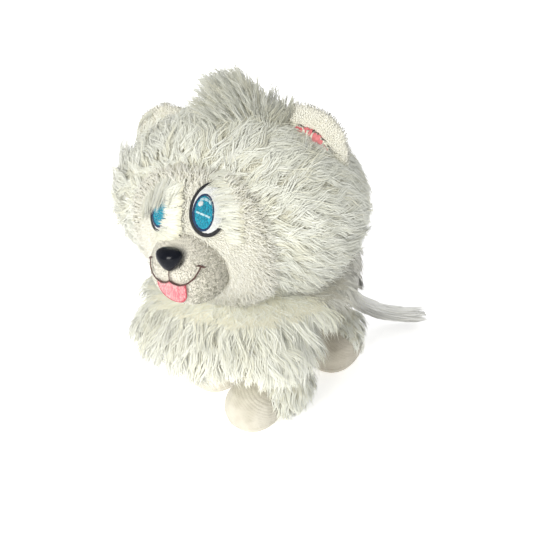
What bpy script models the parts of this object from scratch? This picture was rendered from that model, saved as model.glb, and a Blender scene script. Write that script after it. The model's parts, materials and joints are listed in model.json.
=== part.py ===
"""Interactive plush puppy: a walking battery chassis inside a fluffy plush skin.

Blender 4.5, metres, +Z up. The puppy stands on z = 0 and faces -Y; its own left
side is +X. The origin is under the middle of its bounding box.

The legs stand at the end of a stride: the left pair forward, the right pair back.
Each side is a parallelogram: two levers on hip screws joined by a side rod, which
the crank disc behind it drives. The head turns on the neck bearing, the tail wags
on a peg, the button on the back is sprung and the battery door swings down.
"""

import math

import bmesh
import bpy
from mathutils import Matrix, Vector

MM = 0.001
GAP = 0.3 * MM            # clearance between pieces that touch
LOOSE = 0.5 * MM          # clearance round pieces that move

# --- driving dimensions -----------------------------------------------------------
NECK_Y = -19.5 * MM       # vertical axis of the neck
HEAD_Z = 130 * MM         # centre of the head
HEAD_YAW = 7.0            # degrees the head looks to its left at rest
HEAD = (82 * MM, 64 * MM, 60 * MM)
HEAD_BASE_Z = 78 * MM     # flat underside of the head
TURN_RADIUS = 85 * MM     # hollow that the turning head needs in the body
TURN_HEIGHT = 61.5 * MM
TURN_BASE_Z = 76.5 * MM

HIP_Z = 56 * MM
HIP_X = 27.5 * MM         # middle of the lever's thickness
HIP_FRONT_Y = NECK_Y - 15.5 * MM
HIP_REAR_Y = NECK_Y + 62.5 * MM
STRIDE = 15.0             # degrees either side of upright
ARM = 12 * MM             # from the hip up to the side rod's pivot
LEVER_WIDTH = 8 * MM
LEVER_THICK = 4 * MM
FOOT_END_Z = 11 * MM      # lowest point of a lever inside its boot
BOOT = (17 * MM, 21 * MM, 16 * MM)
FRONT_BOOT_X = 23 * MM
REAR_BOOT_X = 31 * MM
FRONT_CUFF = (20 * MM, 20 * MM, 19 * MM)
REAR_CUFF = (17 * MM, 15 * MM, 19 * MM)
CUFF_TOP = 40.5 * MM      # the leg fluff stays below this at both ends of a stride

CHASSIS_HALF = 24 * MM
CHASSIS_FRONT = NECK_Y - 33 * MM
CHASSIS_REAR = NECK_Y + 73 * MM
CHASSIS_FLOOR = 45 * MM
CHASSIS_SPLIT = 60 * MM
CHASSIS_TOP = 73 * MM
WALL = 2 * MM

GEAR_MODULE = 0.8 * MM
WHEEL_TEETH = 24
PINION_TEETH = 8
CRANK_Y = (HIP_FRONT_Y + HIP_REAR_Y) / 2
GEAR_STEP = GEAR_MODULE * (WHEEL_TEETH + PINION_TEETH) / 2
SHAFT_RADIUS = 1.5 * MM
CRANK_THROW = ARM * math.sin(math.radians(STRIDE))

CELL_RADIUS = 5.25 * MM   # an AAA cell
CELL_LENGTH = 44.5 * MM
BAY_HALF = 11.8 * MM
BAY_WALL = 1.5 * MM
BAY_REAR = CHASSIS_REAR - WALL - BAY_WALL
BAY_FRONT = BAY_REAR - CELL_LENGTH - 1.8 * MM

SKIN_LOW = 41.5 * MM      # underside of the body skin
RUFF_LOW = 36.5 * MM      # the ruff hangs lower in front of the legs
BODY = (50 * MM, 60 * MM, 32 * MM)
BODY_Y = NECK_Y + 25 * MM
BODY_Z = 68 * MM
RUFF = (62 * MM, 40 * MM, 27 * MM)
RUFF_Y = NECK_Y - 30 * MM
RUFF_Z = 55 * MM
RUFF_BACK = NECK_Y        # the ruff's skin is sewn to the body's here
OVER_BOOT = (20 * MM, 24 * MM, 12 * MM)   # hollow where the stepping boot parts the ruff
ROD_ROOM_HALF = 35 * MM

TAIL_Y = CHASSIS_REAR + 4.5 * MM
BUTTON_Y = NECK_Y + 60 * MM
SPEAKER_Y = NECK_Y - 18 * MM
SWITCH_X = -17.6 * MM
SWITCH_Y = NECK_Y + 8 * MM
CELL_Z = CHASSIS_FLOOR + 1.6 * MM + GAP + CELL_RADIUS + 0.4 * MM

# --- colours and finishes: colour, roughness, metallic ------------------------------
FUR = ((0.90, 0.86, 0.78), 0.9, 0.0)
SHORT_PILE = ((0.86, 0.80, 0.70), 0.9, 0.0)
MUZZLE_PILE = ((0.72, 0.67, 0.59), 0.9, 0.0)
PINK_SATIN = ((0.90, 0.30, 0.33), 0.5, 0.0)
THREAD_BLUE = ((0.03, 0.33, 0.45), 0.5, 0.0)
GLOSS_BLACK = ((0.01, 0.01, 0.012), 0.12, 0.0)
STUFFING = ((0.93, 0.93, 0.92), 0.95, 0.0)
CASE_WHITE = ((0.78, 0.78, 0.75), 0.4, 0.0)
GEAR_WHITE = ((0.82, 0.80, 0.72), 0.35, 0.0)
DARK_PLASTIC = ((0.05, 0.05, 0.05), 0.45, 0.0)
STEEL = ((0.60, 0.60, 0.60), 0.3, 1.0)
BRASS = ((0.75, 0.55, 0.25), 0.3, 1.0)
BOARD_GREEN = ((0.03, 0.20, 0.08), 0.5, 0.0)
CELL_WRAP = ((0.10, 0.12, 0.16), 0.4, 0.0)

ROUND = 16                # sides of a small round piece


# --- tools for making pieces --------------------------------------------------------
def clear_scene():
    for obj in list(bpy.data.objects):
        bpy.data.objects.remove(obj, do_unlink=True)


def paint(obj, finish):
    """Give obj a material of its own."""
    colour, roughness, metallic = finish
    material = bpy.data.materials.new(obj.name)
    material.use_nodes = True
    shader = material.node_tree.nodes["Principled BSDF"]
    shader.inputs["Base Color"].default_value = (*colour, 1.0)
    shader.inputs["Roughness"].default_value = roughness
    shader.inputs["Metallic"].default_value = metallic
    obj.data.materials.clear()
    obj.data.materials.append(material)


def piece(name, work, finish=STUFFING, origin=(0, 0, 0), parent=None):
    """Make the bmesh into an object whose origin is at the given point."""
    bmesh.ops.recalc_face_normals(work, faces=work.faces)
    if work.calc_volume(signed=True) < 0:
        bmesh.ops.reverse_faces(work, faces=work.faces)
    work.transform(Matrix.Translation(-Vector(origin)))
    mesh = bpy.data.meshes.new(name)
    work.to_mesh(mesh)
    work.free()
    obj = bpy.data.objects.new(name, mesh)
    bpy.context.scene.collection.objects.link(obj)
    obj.location = origin
    obj.parent = parent
    paint(obj, finish)
    return obj


def block(low, high, bevel=0.0):
    """Box between two corners, its edges bevelled."""
    low, high = Vector(low), Vector(high)
    work = bmesh.new()
    bmesh.ops.create_cube(work, size=1.0)
    middle = (low + high) / 2
    work.transform(Matrix.Translation(middle) @ Matrix.Diagonal((*(high - low), 1.0)))
    if bevel:
        bmesh.ops.bevel(work, geom=work.edges[:], offset=bevel, segments=1,
                        affect="EDGES", profile=0.5)
    return work


def prism(outline, low, high):
    """Extrude an outline in X and Y from the height low to the height high."""
    work = bmesh.new()
    face = work.faces.new([work.verts.new((x, y, low)) for x, y in outline])
    raised = bmesh.ops.extrude_face_region(work, geom=[face])
    moved = [part for part in raised["geom"] if isinstance(part, bmesh.types.BMVert)]
    bmesh.ops.translate(work, verts=moved, vec=(0, 0, high - low))
    return work


def turned(profile, sides=ROUND):
    """Turn a closed profile of (radius, height) points round the Z axis."""
    work = bmesh.new()
    rings = []
    for radius, height in profile:
        if radius == 0:
            rings.append([work.verts.new((0, 0, height))] * sides)
            continue
        angles = [2 * math.pi * i / sides for i in range(sides)]
        rings.append([work.verts.new((radius * math.cos(a), radius * math.sin(a), height))
                      for a in angles])
    for ring, following in zip(rings, rings[1:] + rings[:1]):
        for i in range(sides):
            j = (i + 1) % sides
            corners = dict.fromkeys((ring[i], ring[j], following[j], following[i]))
            if len(corners) > 2:
                work.faces.new(list(corners))
    return work


def disc(radius, low, high, sides=ROUND):
    """Round bar along Z."""
    return turned([(0, low), (radius, low), (radius, high), (0, high)], sides)


def along_x(work):
    """Turn a piece that was made along Z so that it lies along X."""
    work.transform(Matrix.Rotation(math.pi / 2, 4, "Y"))
    return work


def along_y(work):
    """Turn a piece that was made along Z so that it lies along Y."""
    work.transform(Matrix.Rotation(-math.pi / 2, 4, "X"))
    return work


def shifted(work, offset):
    work.transform(Matrix.Translation(offset))
    return work


def blob(centre, radii, squareness=2.0, rows=12, columns=24, grow=0.0):
    """Rounded body; 2 is an ellipsoid, and a larger squareness fills its corners."""
    work = bmesh.new()
    radii = [radius + grow for radius in radii]
    power = 2.0 / squareness

    def rounded(value):
        return math.copysign(abs(value) ** power, value)

    def ring(row):
        up = math.pi * (row / rows - 0.5)
        for column in range(columns):
            turn = 2 * math.pi * column / columns
            yield work.verts.new((
                centre[0] + radii[0] * rounded(math.cos(up)) * rounded(math.cos(turn)),
                centre[1] + radii[1] * rounded(math.cos(up)) * rounded(math.sin(turn)),
                centre[2] + radii[2] * rounded(math.sin(up))))

    bottom = work.verts.new((centre[0], centre[1], centre[2] - radii[2]))
    top = work.verts.new((centre[0], centre[1], centre[2] + radii[2]))
    rings = [list(ring(row)) for row in range(1, rows)]
    for lower, upper in zip(rings, rings[1:]):
        for i in range(columns):
            j = (i + 1) % columns
            work.faces.new((lower[i], lower[j], upper[j], upper[i]))
    for i in range(columns):
        j = (i + 1) % columns
        work.faces.new((bottom, rings[0][j], rings[0][i]))
        work.faces.new((top, rings[-1][i], rings[-1][j]))
    return work


def combine(obj, operation, works, parent, solver="EXACT"):
    """Cut the works from obj, or join them to it, for good."""
    for work in works:
        tool = piece("tool", work, parent=parent)
        step = obj.modifiers.new(operation, "BOOLEAN")
        step.operation = operation
        step.solver = solver
        step.object = tool
        bpy.context.view_layer.update()
        depsgraph = bpy.context.evaluated_depsgraph_get()
        mesh = bpy.data.meshes.new_from_object(obj.evaluated_get(depsgraph))
        obj.modifiers.clear()
        obj.data = mesh
        bpy.data.objects.remove(tool, do_unlink=True)
    return obj


def carve(obj, *works, parent=None, solver="EXACT"):
    return combine(obj, "DIFFERENCE", works, parent, solver)


def join(obj, *works, parent=None):
    return combine(obj, "UNION", works, parent)


def smooth(obj, degrees=35):
    obj.data.shade_smooth()
    obj.data.set_sharp_from_angle(angle=math.radians(degrees))
    return obj


# --- chassis ------------------------------------------------------------------------
def make_chassis_tray():
    """Lower half: one room, with the battery bay and its window inside it."""
    half, front, rear = CHASSIS_HALF, CHASSIS_FRONT, CHASSIS_REAR
    floor, split = CHASSIS_FLOOR, CHASSIS_SPLIT - GAP / 2
    obj = piece("chassis_tray", block((-half, front, floor), (half, rear, split)),
                CASE_WHITE)
    inner = half - WALL
    above = split + 5 * MM
    room = block((-inner, front + WALL, floor + WALL), (inner, rear - WALL, above))
    carve(obj, room)
    rib_top = split - 1 * MM
    outer = BAY_HALF + BAY_WALL
    join(obj, block((-outer, BAY_FRONT - BAY_WALL, floor + 1 * MM),
                    (outer, rear - 1 * MM, rib_top)))
    bay = block((-BAY_HALF, BAY_FRONT, floor - WALL), (BAY_HALF, BAY_REAR, above))
    knob_slot = block((SWITCH_X - 3.8 * MM, SWITCH_Y - 6 * MM, floor - WALL),
                      (SWITCH_X + 3.8 * MM, SWITCH_Y + 5.5 * MM, floor + 2 * WALL))
    carve(obj, bay, knob_slot)
    for turn in range(6):
        angle = math.radians(60 * turn)
        spot = (7 * MM * math.cos(angle), SPEAKER_Y + 7 * MM * math.sin(angle), 0)
        carve(obj, shifted(disc(1.6 * MM, floor - WALL, floor + 2 * WALL, 8), spot))
    lug = block((-4 * MM, rear - 1 * MM, 50 * MM), (4 * MM, TAIL_Y + 4 * MM, 53 * MM))
    join(obj, lug)
    carve(obj, shifted(disc(2.4 * MM, 48 * MM, 55 * MM), (0, TAIL_Y, 0)))
    carve(obj, shaft_hole(), *hip_holes())
    return obj


def shaft_hole():
    """Running hole for the crank shaft, right through both side walls."""
    hole = along_x(disc(SHAFT_RADIUS + GAP, -CHASSIS_HALF - WALL, CHASSIS_HALF + WALL))
    return shifted(hole, (0, CRANK_Y, CHASSIS_SPLIT))


def hip_holes():
    """Holes in the side walls for the four hip screws."""
    for side in (-1, 1):
        for hip_y in (HIP_FRONT_Y, HIP_REAR_Y):
            hole = along_x(disc(2 * MM + GAP, -3 * MM, 3 * MM))
            yield shifted(hole, (side * (CHASSIS_HALF - WALL / 2), hip_y, HIP_Z))


def make_chassis_cover():
    """Upper half, with holes for the press button and the neck spindle."""
    half, front, rear = CHASSIS_HALF, CHASSIS_FRONT, CHASSIS_REAR
    split, top = CHASSIS_SPLIT + GAP / 2, CHASSIS_TOP
    obj = piece("chassis_cover", block((-half, front, split), (half, rear, top)), CASE_WHITE)
    inner = half - WALL
    room = block((-inner, front + WALL, split - 5 * MM), (inner, rear - WALL, top - WALL))
    button = shifted(disc(6.5 * MM, split, top + WALL), (0, BUTTON_Y, 0))
    neck = shifted(disc(7 * MM, split, top + WALL), (0, NECK_Y, 0))
    return carve(obj, room, button, neck, shaft_hole())


def make_battery_door():
    """Door in the floor of the battery bay, hinged along its rear lower edge."""
    hinge = (0, BAY_REAR - GAP, CHASSIS_FLOOR)
    plate = block((-BAY_HALF + GAP, BAY_FRONT + GAP, CHASSIS_FLOOR),
                  (BAY_HALF - GAP, BAY_REAR - GAP, CHASSIS_FLOOR + 1.6 * MM))
    obj = piece("battery_door", plate, CASE_WHITE, hinge)
    screw_hole = disc(1.6 * MM, CHASSIS_FLOOR - WALL, CHASSIS_FLOOR + 2 * WALL)
    carve(obj, shifted(screw_hole, (0, BAY_FRONT + 5 * MM, 0)))
    screw = turned([(0, CHASSIS_FLOOR - 1.3 * MM), (2.6 * MM, CHASSIS_FLOOR - 1.3 * MM),
                    (2.6 * MM, CHASSIS_FLOOR - GAP), (1.2 * MM, CHASSIS_FLOOR - GAP),
                    (1.2 * MM, CHASSIS_FLOOR + 2.2 * MM), (0, CHASSIS_FLOOR + 2.2 * MM)])
    smooth(piece("door_screw", shifted(screw, (0, BAY_FRONT + 5 * MM, 0)), STEEL, hinge))
    return obj


# --- power and sound ----------------------------------------------------------------
def make_batteries():
    """Two cells side by side, pointing opposite ways, and their end contacts."""
    middle_y = (BAY_FRONT + BAY_REAR) / 2
    half = CELL_LENGTH / 2
    for number, side in ((1, -1), (2, 1)):
        cell = turned([(0, -half), (CELL_RADIUS, -half), (CELL_RADIUS, half - 1 * MM),
                       (1.9 * MM, half - 1 * MM), (1.9 * MM, half), (0, half)])
        if side < 0:
            cell.transform(Matrix.Rotation(math.pi, 4, "X"))
        place = (side * (CELL_RADIUS + 0.3 * MM), middle_y, CELL_Z)
        smooth(piece(f"battery_{number}", shifted(along_y(cell), place), CELL_WRAP))
    reach = BAY_HALF - 2 * GAP
    strip = block((-reach, BAY_REAR - 2 * GAP, CELL_Z - 4 * MM),
                  (reach, BAY_REAR - GAP, CELL_Z + 4 * MM))
    piece("battery_contacts", strip, STEEL)


def make_circuit_board():
    front = CRANK_Y + 12.5 * MM
    board = block((-20 * MM, front, 62 * MM), (20 * MM, BAY_REAR - 1 * MM, 63.2 * MM))
    obj = piece("circuit_board", board, BOARD_GREEN)
    chip = shifted(disc(4 * MM, 63 * MM, 65 * MM), (-12 * MM, front + 8 * MM, 0))
    storage = shifted(disc(2.5 * MM, 63 * MM, 69 * MM), (13 * MM, front + 6 * MM, 0))
    return join(obj, chip, storage)


def make_speaker():
    """Round speaker over the sound holes in the tray's floor."""
    low = CHASSIS_FLOOR + WALL + GAP
    cone = turned([(0, low + 2.2 * MM), (9 * MM, low + 0.8 * MM), (12.5 * MM, low),
                   (12.5 * MM, low + 2 * MM), (7 * MM, low + 4.6 * MM),
                   (0, low + 4.6 * MM)], 20)
    smooth(piece("speaker", shifted(cone, (0, SPEAKER_Y, 0)), DARK_PLASTIC))


def make_switch():
    """Slide switch over its slot; the knob travels along Y."""
    floor = CHASSIS_FLOOR + WALL + GAP
    x, y = SWITCH_X, SWITCH_Y
    body = block((x - 4 * MM, y - 7 * MM, floor + 1.4 * MM),
                 (x + 4 * MM, y + 7 * MM, floor + 6 * MM))
    piece("slide_switch", body, DARK_PLASTIC)
    knob = block((x - 3.3 * MM, y - 5.5 * MM, CHASSIS_FLOOR - 1.6 * MM),
                 (x + 3.3 * MM, y + 0.5 * MM, floor + 1.0 * MM), 0.4 * MM)
    piece("switch_knob", knob, DARK_PLASTIC, (x, y - 2.5 * MM, CHASSIS_FLOOR))


def make_press_button():
    """Sprung button under the skin of the back; it travels down."""
    cap = turned([(0, 66.5 * MM), (8 * MM, 66.5 * MM), (8 * MM, 68 * MM),
                  (6 * MM, 68 * MM), (6 * MM, 76 * MM), (5 * MM, 77 * MM), (0, 77 * MM)], 20)
    smooth(piece("press_button", shifted(cap, (0, BUTTON_Y, 0)), PINK_SATIN,
                 (0, BUTTON_Y, 66.5 * MM)))
    low, high = 63.5 * MM, 66.2 * MM
    wire, coil_radius, turns, steps, sides = 0.4 * MM, 4.5 * MM, 2, 16, 6
    work = bmesh.new()
    rings = []
    for i in range(turns * steps + 1):
        angle = 2 * math.pi * i / steps
        middle = Vector((coil_radius * math.cos(angle), coil_radius * math.sin(angle),
                         low + wire + (high - low - 2 * wire) * i / (turns * steps)))
        outward = Vector((math.cos(angle), math.sin(angle), 0))
        rings.append([work.verts.new(middle + wire * (
            outward * math.cos(2 * math.pi * k / sides)
            + Vector((0, 0, 1)) * math.sin(2 * math.pi * k / sides))) for k in range(sides)])
    for ring, following in zip(rings, rings[1:]):
        for k in range(sides):
            j = (k + 1) % sides
            work.faces.new((ring[k], ring[j], following[j], following[k]))
    work.faces.new(rings[0])
    work.faces.new(list(reversed(rings[-1])))
    smooth(piece("button_spring", shifted(work, (0, BUTTON_Y, 0)), STEEL))


# --- drive --------------------------------------------------------------------------
def gear_outline(teeth, phase=0.0):
    """Straight-sided teeth, thinned a little so that meshed gears run clear."""
    pitch_radius = GEAR_MODULE * teeth / 2
    root = pitch_radius - 1.15 * GEAR_MODULE
    tip = pitch_radius + 0.85 * GEAR_MODULE
    pitch_angle = 2 * math.pi / teeth
    root_half = 0.31 * pitch_angle
    tip_half = 0.11 * pitch_angle
    points = []
    for tooth in range(teeth):
        middle = (tooth + phase) * pitch_angle
        for radius, offset in ((root, -root_half), (tip, -tip_half),
                               (tip, tip_half), (root, root_half)):
            angle = middle + offset
            points.append((radius * math.cos(angle), radius * math.sin(angle)))
    return points


def gear_disc(teeth, low, high, phase=0.0):
    """A gear standing along X between two X values; its first tooth points along +Y."""
    work = prism(gear_outline(teeth, phase), low, high)
    work.transform(Matrix(((0, 0, 1, 0), (1, 0, 0, 0), (0, 1, 0, 0), (0, 0, 0, 1))))
    return work


def make_gear_train():
    """Motor pinion, two compound gears and the crank gear, each three to one."""
    line = [CRANK_Y - GEAR_STEP * step for step in range(4)]
    bore = along_x(disc(SHAFT_RADIUS + 0.1 * MM, 0, 30 * MM))
    crank_gear = piece("crank_gear", shifted(gear_disc(WHEEL_TEETH, 15.5 * MM, 18.5 * MM),
                                             (0, line[0], CHASSIS_SPLIT)),
                       GEAR_WHITE, (17 * MM, line[0], CHASSIS_SPLIT))
    carve(crank_gear, shifted(bore, (0, line[0], CHASSIS_SPLIT)))
    steps = ((2, line[1], 11 * MM), (1, line[2], 6.5 * MM))
    for number, y, wheel_low in steps:
        axis = (0, y, CHASSIS_SPLIT)
        wheel = shifted(gear_disc(WHEEL_TEETH, wheel_low, wheel_low + 3 * MM), axis)
        obj = piece(f"compound_gear_{number}", wheel, GEAR_WHITE,
                    (wheel_low, y, CHASSIS_SPLIT))
        small = gear_disc(PINION_TEETH, wheel_low + 2 * MM, wheel_low + 7.8 * MM, 0.5)
        spindle = along_x(disc(SHAFT_RADIUS, wheel_low - 1.2 * MM, 21.5 * MM, 12))
        join(obj, shifted(small, axis), shifted(spindle, axis))
    pinion = piece("motor_pinion", shifted(gear_disc(PINION_TEETH, 5.5 * MM, 9.8 * MM, 0.5),
                                           (0, line[3], CHASSIS_SPLIT)),
                   BRASS, (6 * MM, line[3], CHASSIS_SPLIT))
    carve(pinion, shifted(along_x(disc(1.1 * MM, 0, 12 * MM, 12)),
                          (0, line[3], CHASSIS_SPLIT)))
    make_motor(line[3])


def make_motor(y):
    """Small can motor lying along X, with its shaft in the pinion."""
    half_wide, half_tall = 10 * MM, 7.2 * MM
    sides = 16
    outline = []
    for i in range(sides):
        angle = 2 * math.pi * i / sides
        outline.append((half_wide * math.cos(angle),
                        max(-half_tall, min(half_tall, half_wide * math.sin(angle)))))
    work = prism(outline, -20 * MM, 3 * MM)
    work.transform(Matrix(((0, 0, 1, 0), (1, 0, 0, 0), (0, 1, 0, 0), (0, 0, 0, 1))))
    place = (0, y, CHASSIS_SPLIT)
    motor = piece("motor", shifted(work, place), STEEL)
    join(motor, shifted(along_x(disc(3 * MM, 2 * MM, 4.2 * MM, 12)), place),
         shifted(along_x(disc(0.9 * MM, 2 * MM, 10 * MM, 12)), place))


def make_crank():
    """Cross shaft, and the disc on each end whose pin faces the side rod's slot."""
    axis = (0, CRANK_Y, CHASSIS_SPLIT)
    reach = CHASSIS_HALF + 3 * MM
    smooth(piece("crank_shaft", shifted(along_x(disc(SHAFT_RADIUS, -reach, reach, 12)), axis),
                 STEEL, axis))
    for name, side, way in (("left", 1, 1), ("right", -1, -1)):
        plate = along_x(disc(7.5 * MM, CHASSIS_HALF + LOOSE, CHASSIS_HALF + 3 * MM, 20))
        pin = along_x(disc(1.6 * MM, CHASSIS_HALF + 2 * MM, ROD_INNER_X - LOOSE, 12))
        pin = shifted(pin, (0, way * CRANK_THROW, 0))
        bore = along_x(disc(SHAFT_RADIUS + 0.1 * MM, CHASSIS_HALF - WALL, 40 * MM, 12))
        works = [plate, pin, bore]
        for work in works:
            if side < 0:
                work.transform(Matrix.Scale(-1, 4, (1, 0, 0)))
            shifted(work, axis)
        obj = piece(f"crank_disc_{name}", plate, GEAR_WHITE, axis)
        join(obj, pin)
        smooth(carve(obj, bore))


# --- legs ---------------------------------------------------------------------------
ROD_INNER_X = HIP_X + LEVER_THICK / 2 + 0.7 * MM
ROD_THICK = 2.6 * MM
ROD_HALF = 3 * MM
STUD_RADIUS = 1.5 * MM


def legs():
    """Name, side, hip place and swing of each leg; a positive swing is backward."""
    for row, hip_y in (("front", HIP_FRONT_Y), ("rear", HIP_REAR_Y)):
        for side_name, side in (("left", 1), ("right", -1)):
            yield f"{row}_{side_name}", side, hip_y, -side * STRIDE


def lever_outline(grow=0.0):
    """Lever seen from the side, hip at the origin: round top, straight leg."""
    half = LEVER_WIDTH / 2 + grow
    low = -(HIP_Z - FOOT_END_Z) / math.cos(math.radians(STRIDE)) - grow
    points = []
    for i in range(9):
        angle = math.pi * i / 8
        points.append((half * math.cos(angle), ARM + half * math.sin(angle)))
    return points + [(-half, low), (half, low)]


def lever_solid(side, hip, swing, grow=0.0):
    """The lever's plate in place, swung about its hip."""
    reach = LEVER_THICK / 2 + grow
    work = prism(lever_outline(grow), -reach, reach)
    work.transform(Matrix(((0, 0, 1, 0), (1, 0, 0, 0), (0, 1, 0, 0), (0, 0, 0, 1))))
    work.transform(Matrix.Rotation(math.radians(swing), 4, "X"))
    return shifted(work, hip)


def arm_offset(swing):
    """From the hip to the side rod's pivot."""
    angle = math.radians(swing)
    return Vector((0, -ARM * math.sin(angle), ARM * math.cos(angle)))


def ankle(hip_y, swing):
    """Where the leg's middle line meets the top of the foot."""
    return hip_y + (HIP_Z - 14 * MM) * math.tan(math.radians(swing))


def boot_solid(boot_x, ankle_y, grow=0.0):
    """Stuffed foot with a flat sole, its toe pointing forward."""
    return blob((boot_x, ankle_y - 7 * MM, 12 * MM), BOOT, 2.3, 8, 16, grow)


def make_leg(name, side, hip_y, swing):
    hip = Vector((side * HIP_X, hip_y, HIP_Z))
    lever = piece(f"leg_lever_{name}", lever_solid(side, hip, swing), CASE_WHITE, hip)
    stud_low = side * (HIP_X + LEVER_THICK / 2 - 1 * MM)
    stud_high = side * (ROD_INNER_X + ROD_THICK + 0.8 * MM)
    stud = along_x(disc(STUD_RADIUS, min(stud_low, stud_high), max(stud_low, stud_high), 12))
    stud_at = arm_offset(swing) + Vector((0, hip_y, HIP_Z))
    join(lever, shifted(stud, stud_at))
    carve(lever, shifted(along_x(disc(2.3 * MM, -9 * MM, 9 * MM)), hip))

    ankle_y = ankle(hip_y, swing)
    in_front = hip_y == HIP_FRONT_Y
    boot_x = side * (FRONT_BOOT_X if in_front else REAR_BOOT_X)
    below = block((-0.1, -0.2, -0.05), (0.1, 0.2, 0))
    boot = piece(f"boot_{name}", boot_solid(boot_x, ankle_y), SHORT_PILE, hip)
    carve(boot, below, lever_solid(side, hip, swing, GAP))
    smooth(boot, 50)

    cuff_radii = FRONT_CUFF if in_front else REAR_CUFF
    cuff_centre = (side * (HIP_X + 5.5 * MM), ankle_y + (8 if in_front else 0) * MM, 21 * MM)
    cuff = piece(f"leg_cuff_{name}", blob(cuff_centre, cuff_radii, 2.2, 8, 16), FUR, hip)
    inner_half = 13 * MM
    inside = block((-inner_half, -0.2, -0.05), (inner_half, 0.2, 0.1))
    top = CUFF_TOP - HIP_Z
    at_rest = shifted(block((-0.1, -0.2, top), (0.1, 0.2, 0.1)), hip)
    swung = block((-0.2, -0.2, top), (0.2, 0.2, 0.2))
    swung.transform(Matrix.Rotation(math.radians(2 * swing), 4, "X"))
    carve(cuff, inside, at_rest, shifted(swung, (0, hip_y, HIP_Z)),
          boot_solid(boot_x, ankle_y, GAP), lever_solid(side, hip, swing, LOOSE))
    smooth(cuff, 50)

    screw = along_x(turned([(0, CHASSIS_HALF - 1.5 * WALL), (2 * MM, CHASSIS_HALF - 1.5 * WALL),
                            (2 * MM, HIP_X + 2.3 * MM), (3.4 * MM, HIP_X + 2.3 * MM),
                            (3.4 * MM, HIP_X + 3.6 * MM), (0, HIP_X + 3.6 * MM)]))
    if side < 0:
        screw.transform(Matrix.Scale(-1, 4, (1, 0, 0)))
    smooth(piece(f"hip_screw_{name}", shifted(screw, (0, hip_y, HIP_Z)), STEEL))


def make_side_rod(name, side):
    """Bar from the front lever to the rear one, slotted where the crank pin drives it."""
    swing = -side * STRIDE
    offset = arm_offset(swing)
    front = Vector((0, HIP_FRONT_Y, HIP_Z)) + offset
    rear = Vector((0, HIP_REAR_Y, HIP_Z)) + offset
    inner, outer = ROD_INNER_X, ROD_INNER_X + ROD_THICK
    low_x, high_x = min(side * inner, side * outer), max(side * inner, side * outer)
    ends = 4 * MM
    bar = block((low_x, front.y - ends, front.z - ROD_HALF),
                (high_x, rear.y + ends, front.z + ROD_HALF))
    obj = piece(f"side_rod_{name}", bar, CASE_WHITE, (low_x, front.y, front.z))
    middle = (front.y + rear.y) / 2
    plate = block((low_x, middle - 5 * MM, CHASSIS_SPLIT - 8 * MM),
                  (high_x, middle + 5 * MM, front.z + ROD_HALF))
    slot = block((-0.1, middle - 2 * MM, CHASSIS_SPLIT - 6 * MM),
                 (0.1, middle + 2 * MM, CHASSIS_SPLIT + 6 * MM))
    join(obj, plate)
    carve(obj, slot)
    for end in (front, rear):
        carve(obj, shifted(along_x(disc(STUD_RADIUS + GAP, -0.1, 0.1, 12)), (0, end.y, end.z)))
    return obj


# --- body skin ----------------------------------------------------------------------
def head_room():
    """The hollow that the turning head sweeps, as a turned solid."""
    profile = [(0, TURN_BASE_Z)]
    start = math.asin((HEAD_Z - TURN_BASE_Z) / TURN_HEIGHT)
    for i in range(9):
        angle = -start + (start + math.pi / 4) * i / 8
        profile.append((TURN_RADIUS * math.cos(angle), HEAD_Z + TURN_HEIGHT * math.sin(angle)))
    profile.append((0, profile[-1][1]))
    return shifted(turned(profile, 32), (0, NECK_Y, 0))


def chassis_room():
    """The space for chassis, levers, rods, button and tail, open underneath."""
    low = SKIN_LOW - 15 * MM
    high = CHASSIS_TOP + 1.2 * MM
    yield block((-CHASSIS_HALF - LOOSE, CHASSIS_FRONT - LOOSE, low),
                (CHASSIS_HALF + LOOSE, CHASSIS_REAR + LOOSE, high))
    yield block((-ROD_ROOM_HALF, HIP_FRONT_Y - 10 * MM, low),
                (ROD_ROOM_HALF, HIP_REAR_Y + 10 * MM, high))
    yield block((-9 * MM, BUTTON_Y - 9 * MM, low), (9 * MM, BUTTON_Y + 9 * MM, 78.5 * MM))
    yield block((-20 * MM, CHASSIS_REAR - WALL, low),
                (20 * MM, CHASSIS_REAR + 60 * MM, 60 * MM))
    yield shifted(disc(18 * MM, CHASSIS_TOP, 90 * MM, 24), (0, NECK_Y, 0))


def make_body_skin():
    """Back and flanks behind, the deep ruff in front, both open to the chassis."""
    far = 0.3
    body = piece("body_fur", blob((0, BODY_Y, BODY_Z), BODY, 2.6, 12, 28), FUR)
    carve(body, block((-far, -far, 0), (far, far, SKIN_LOW)),
          block((-far, -far, 0), (far, RUFF_BACK + GAP, far)),
          head_room(), *chassis_room())
    smooth(body, 50)
    ruff = piece("chest_ruff", blob((0, RUFF_Y, RUFF_Z), RUFF, 2.3, 12, 28), FUR)
    over_boot = (FRONT_BOOT_X + 6 * MM, RUFF_Y - 22 * MM, RUFF_LOW)
    carve(ruff, block((-far, -far, 0), (far, far, RUFF_LOW)),
          block((-far, RUFF_Y - 10 * MM, 0), (far, far, SKIN_LOW)),
          block((-far, RUFF_BACK, 0), (far, far, far)),
          blob(over_boot, OVER_BOOT, 2.0, 8, 16), head_room(), *chassis_room())
    smooth(ruff, 50)


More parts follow.
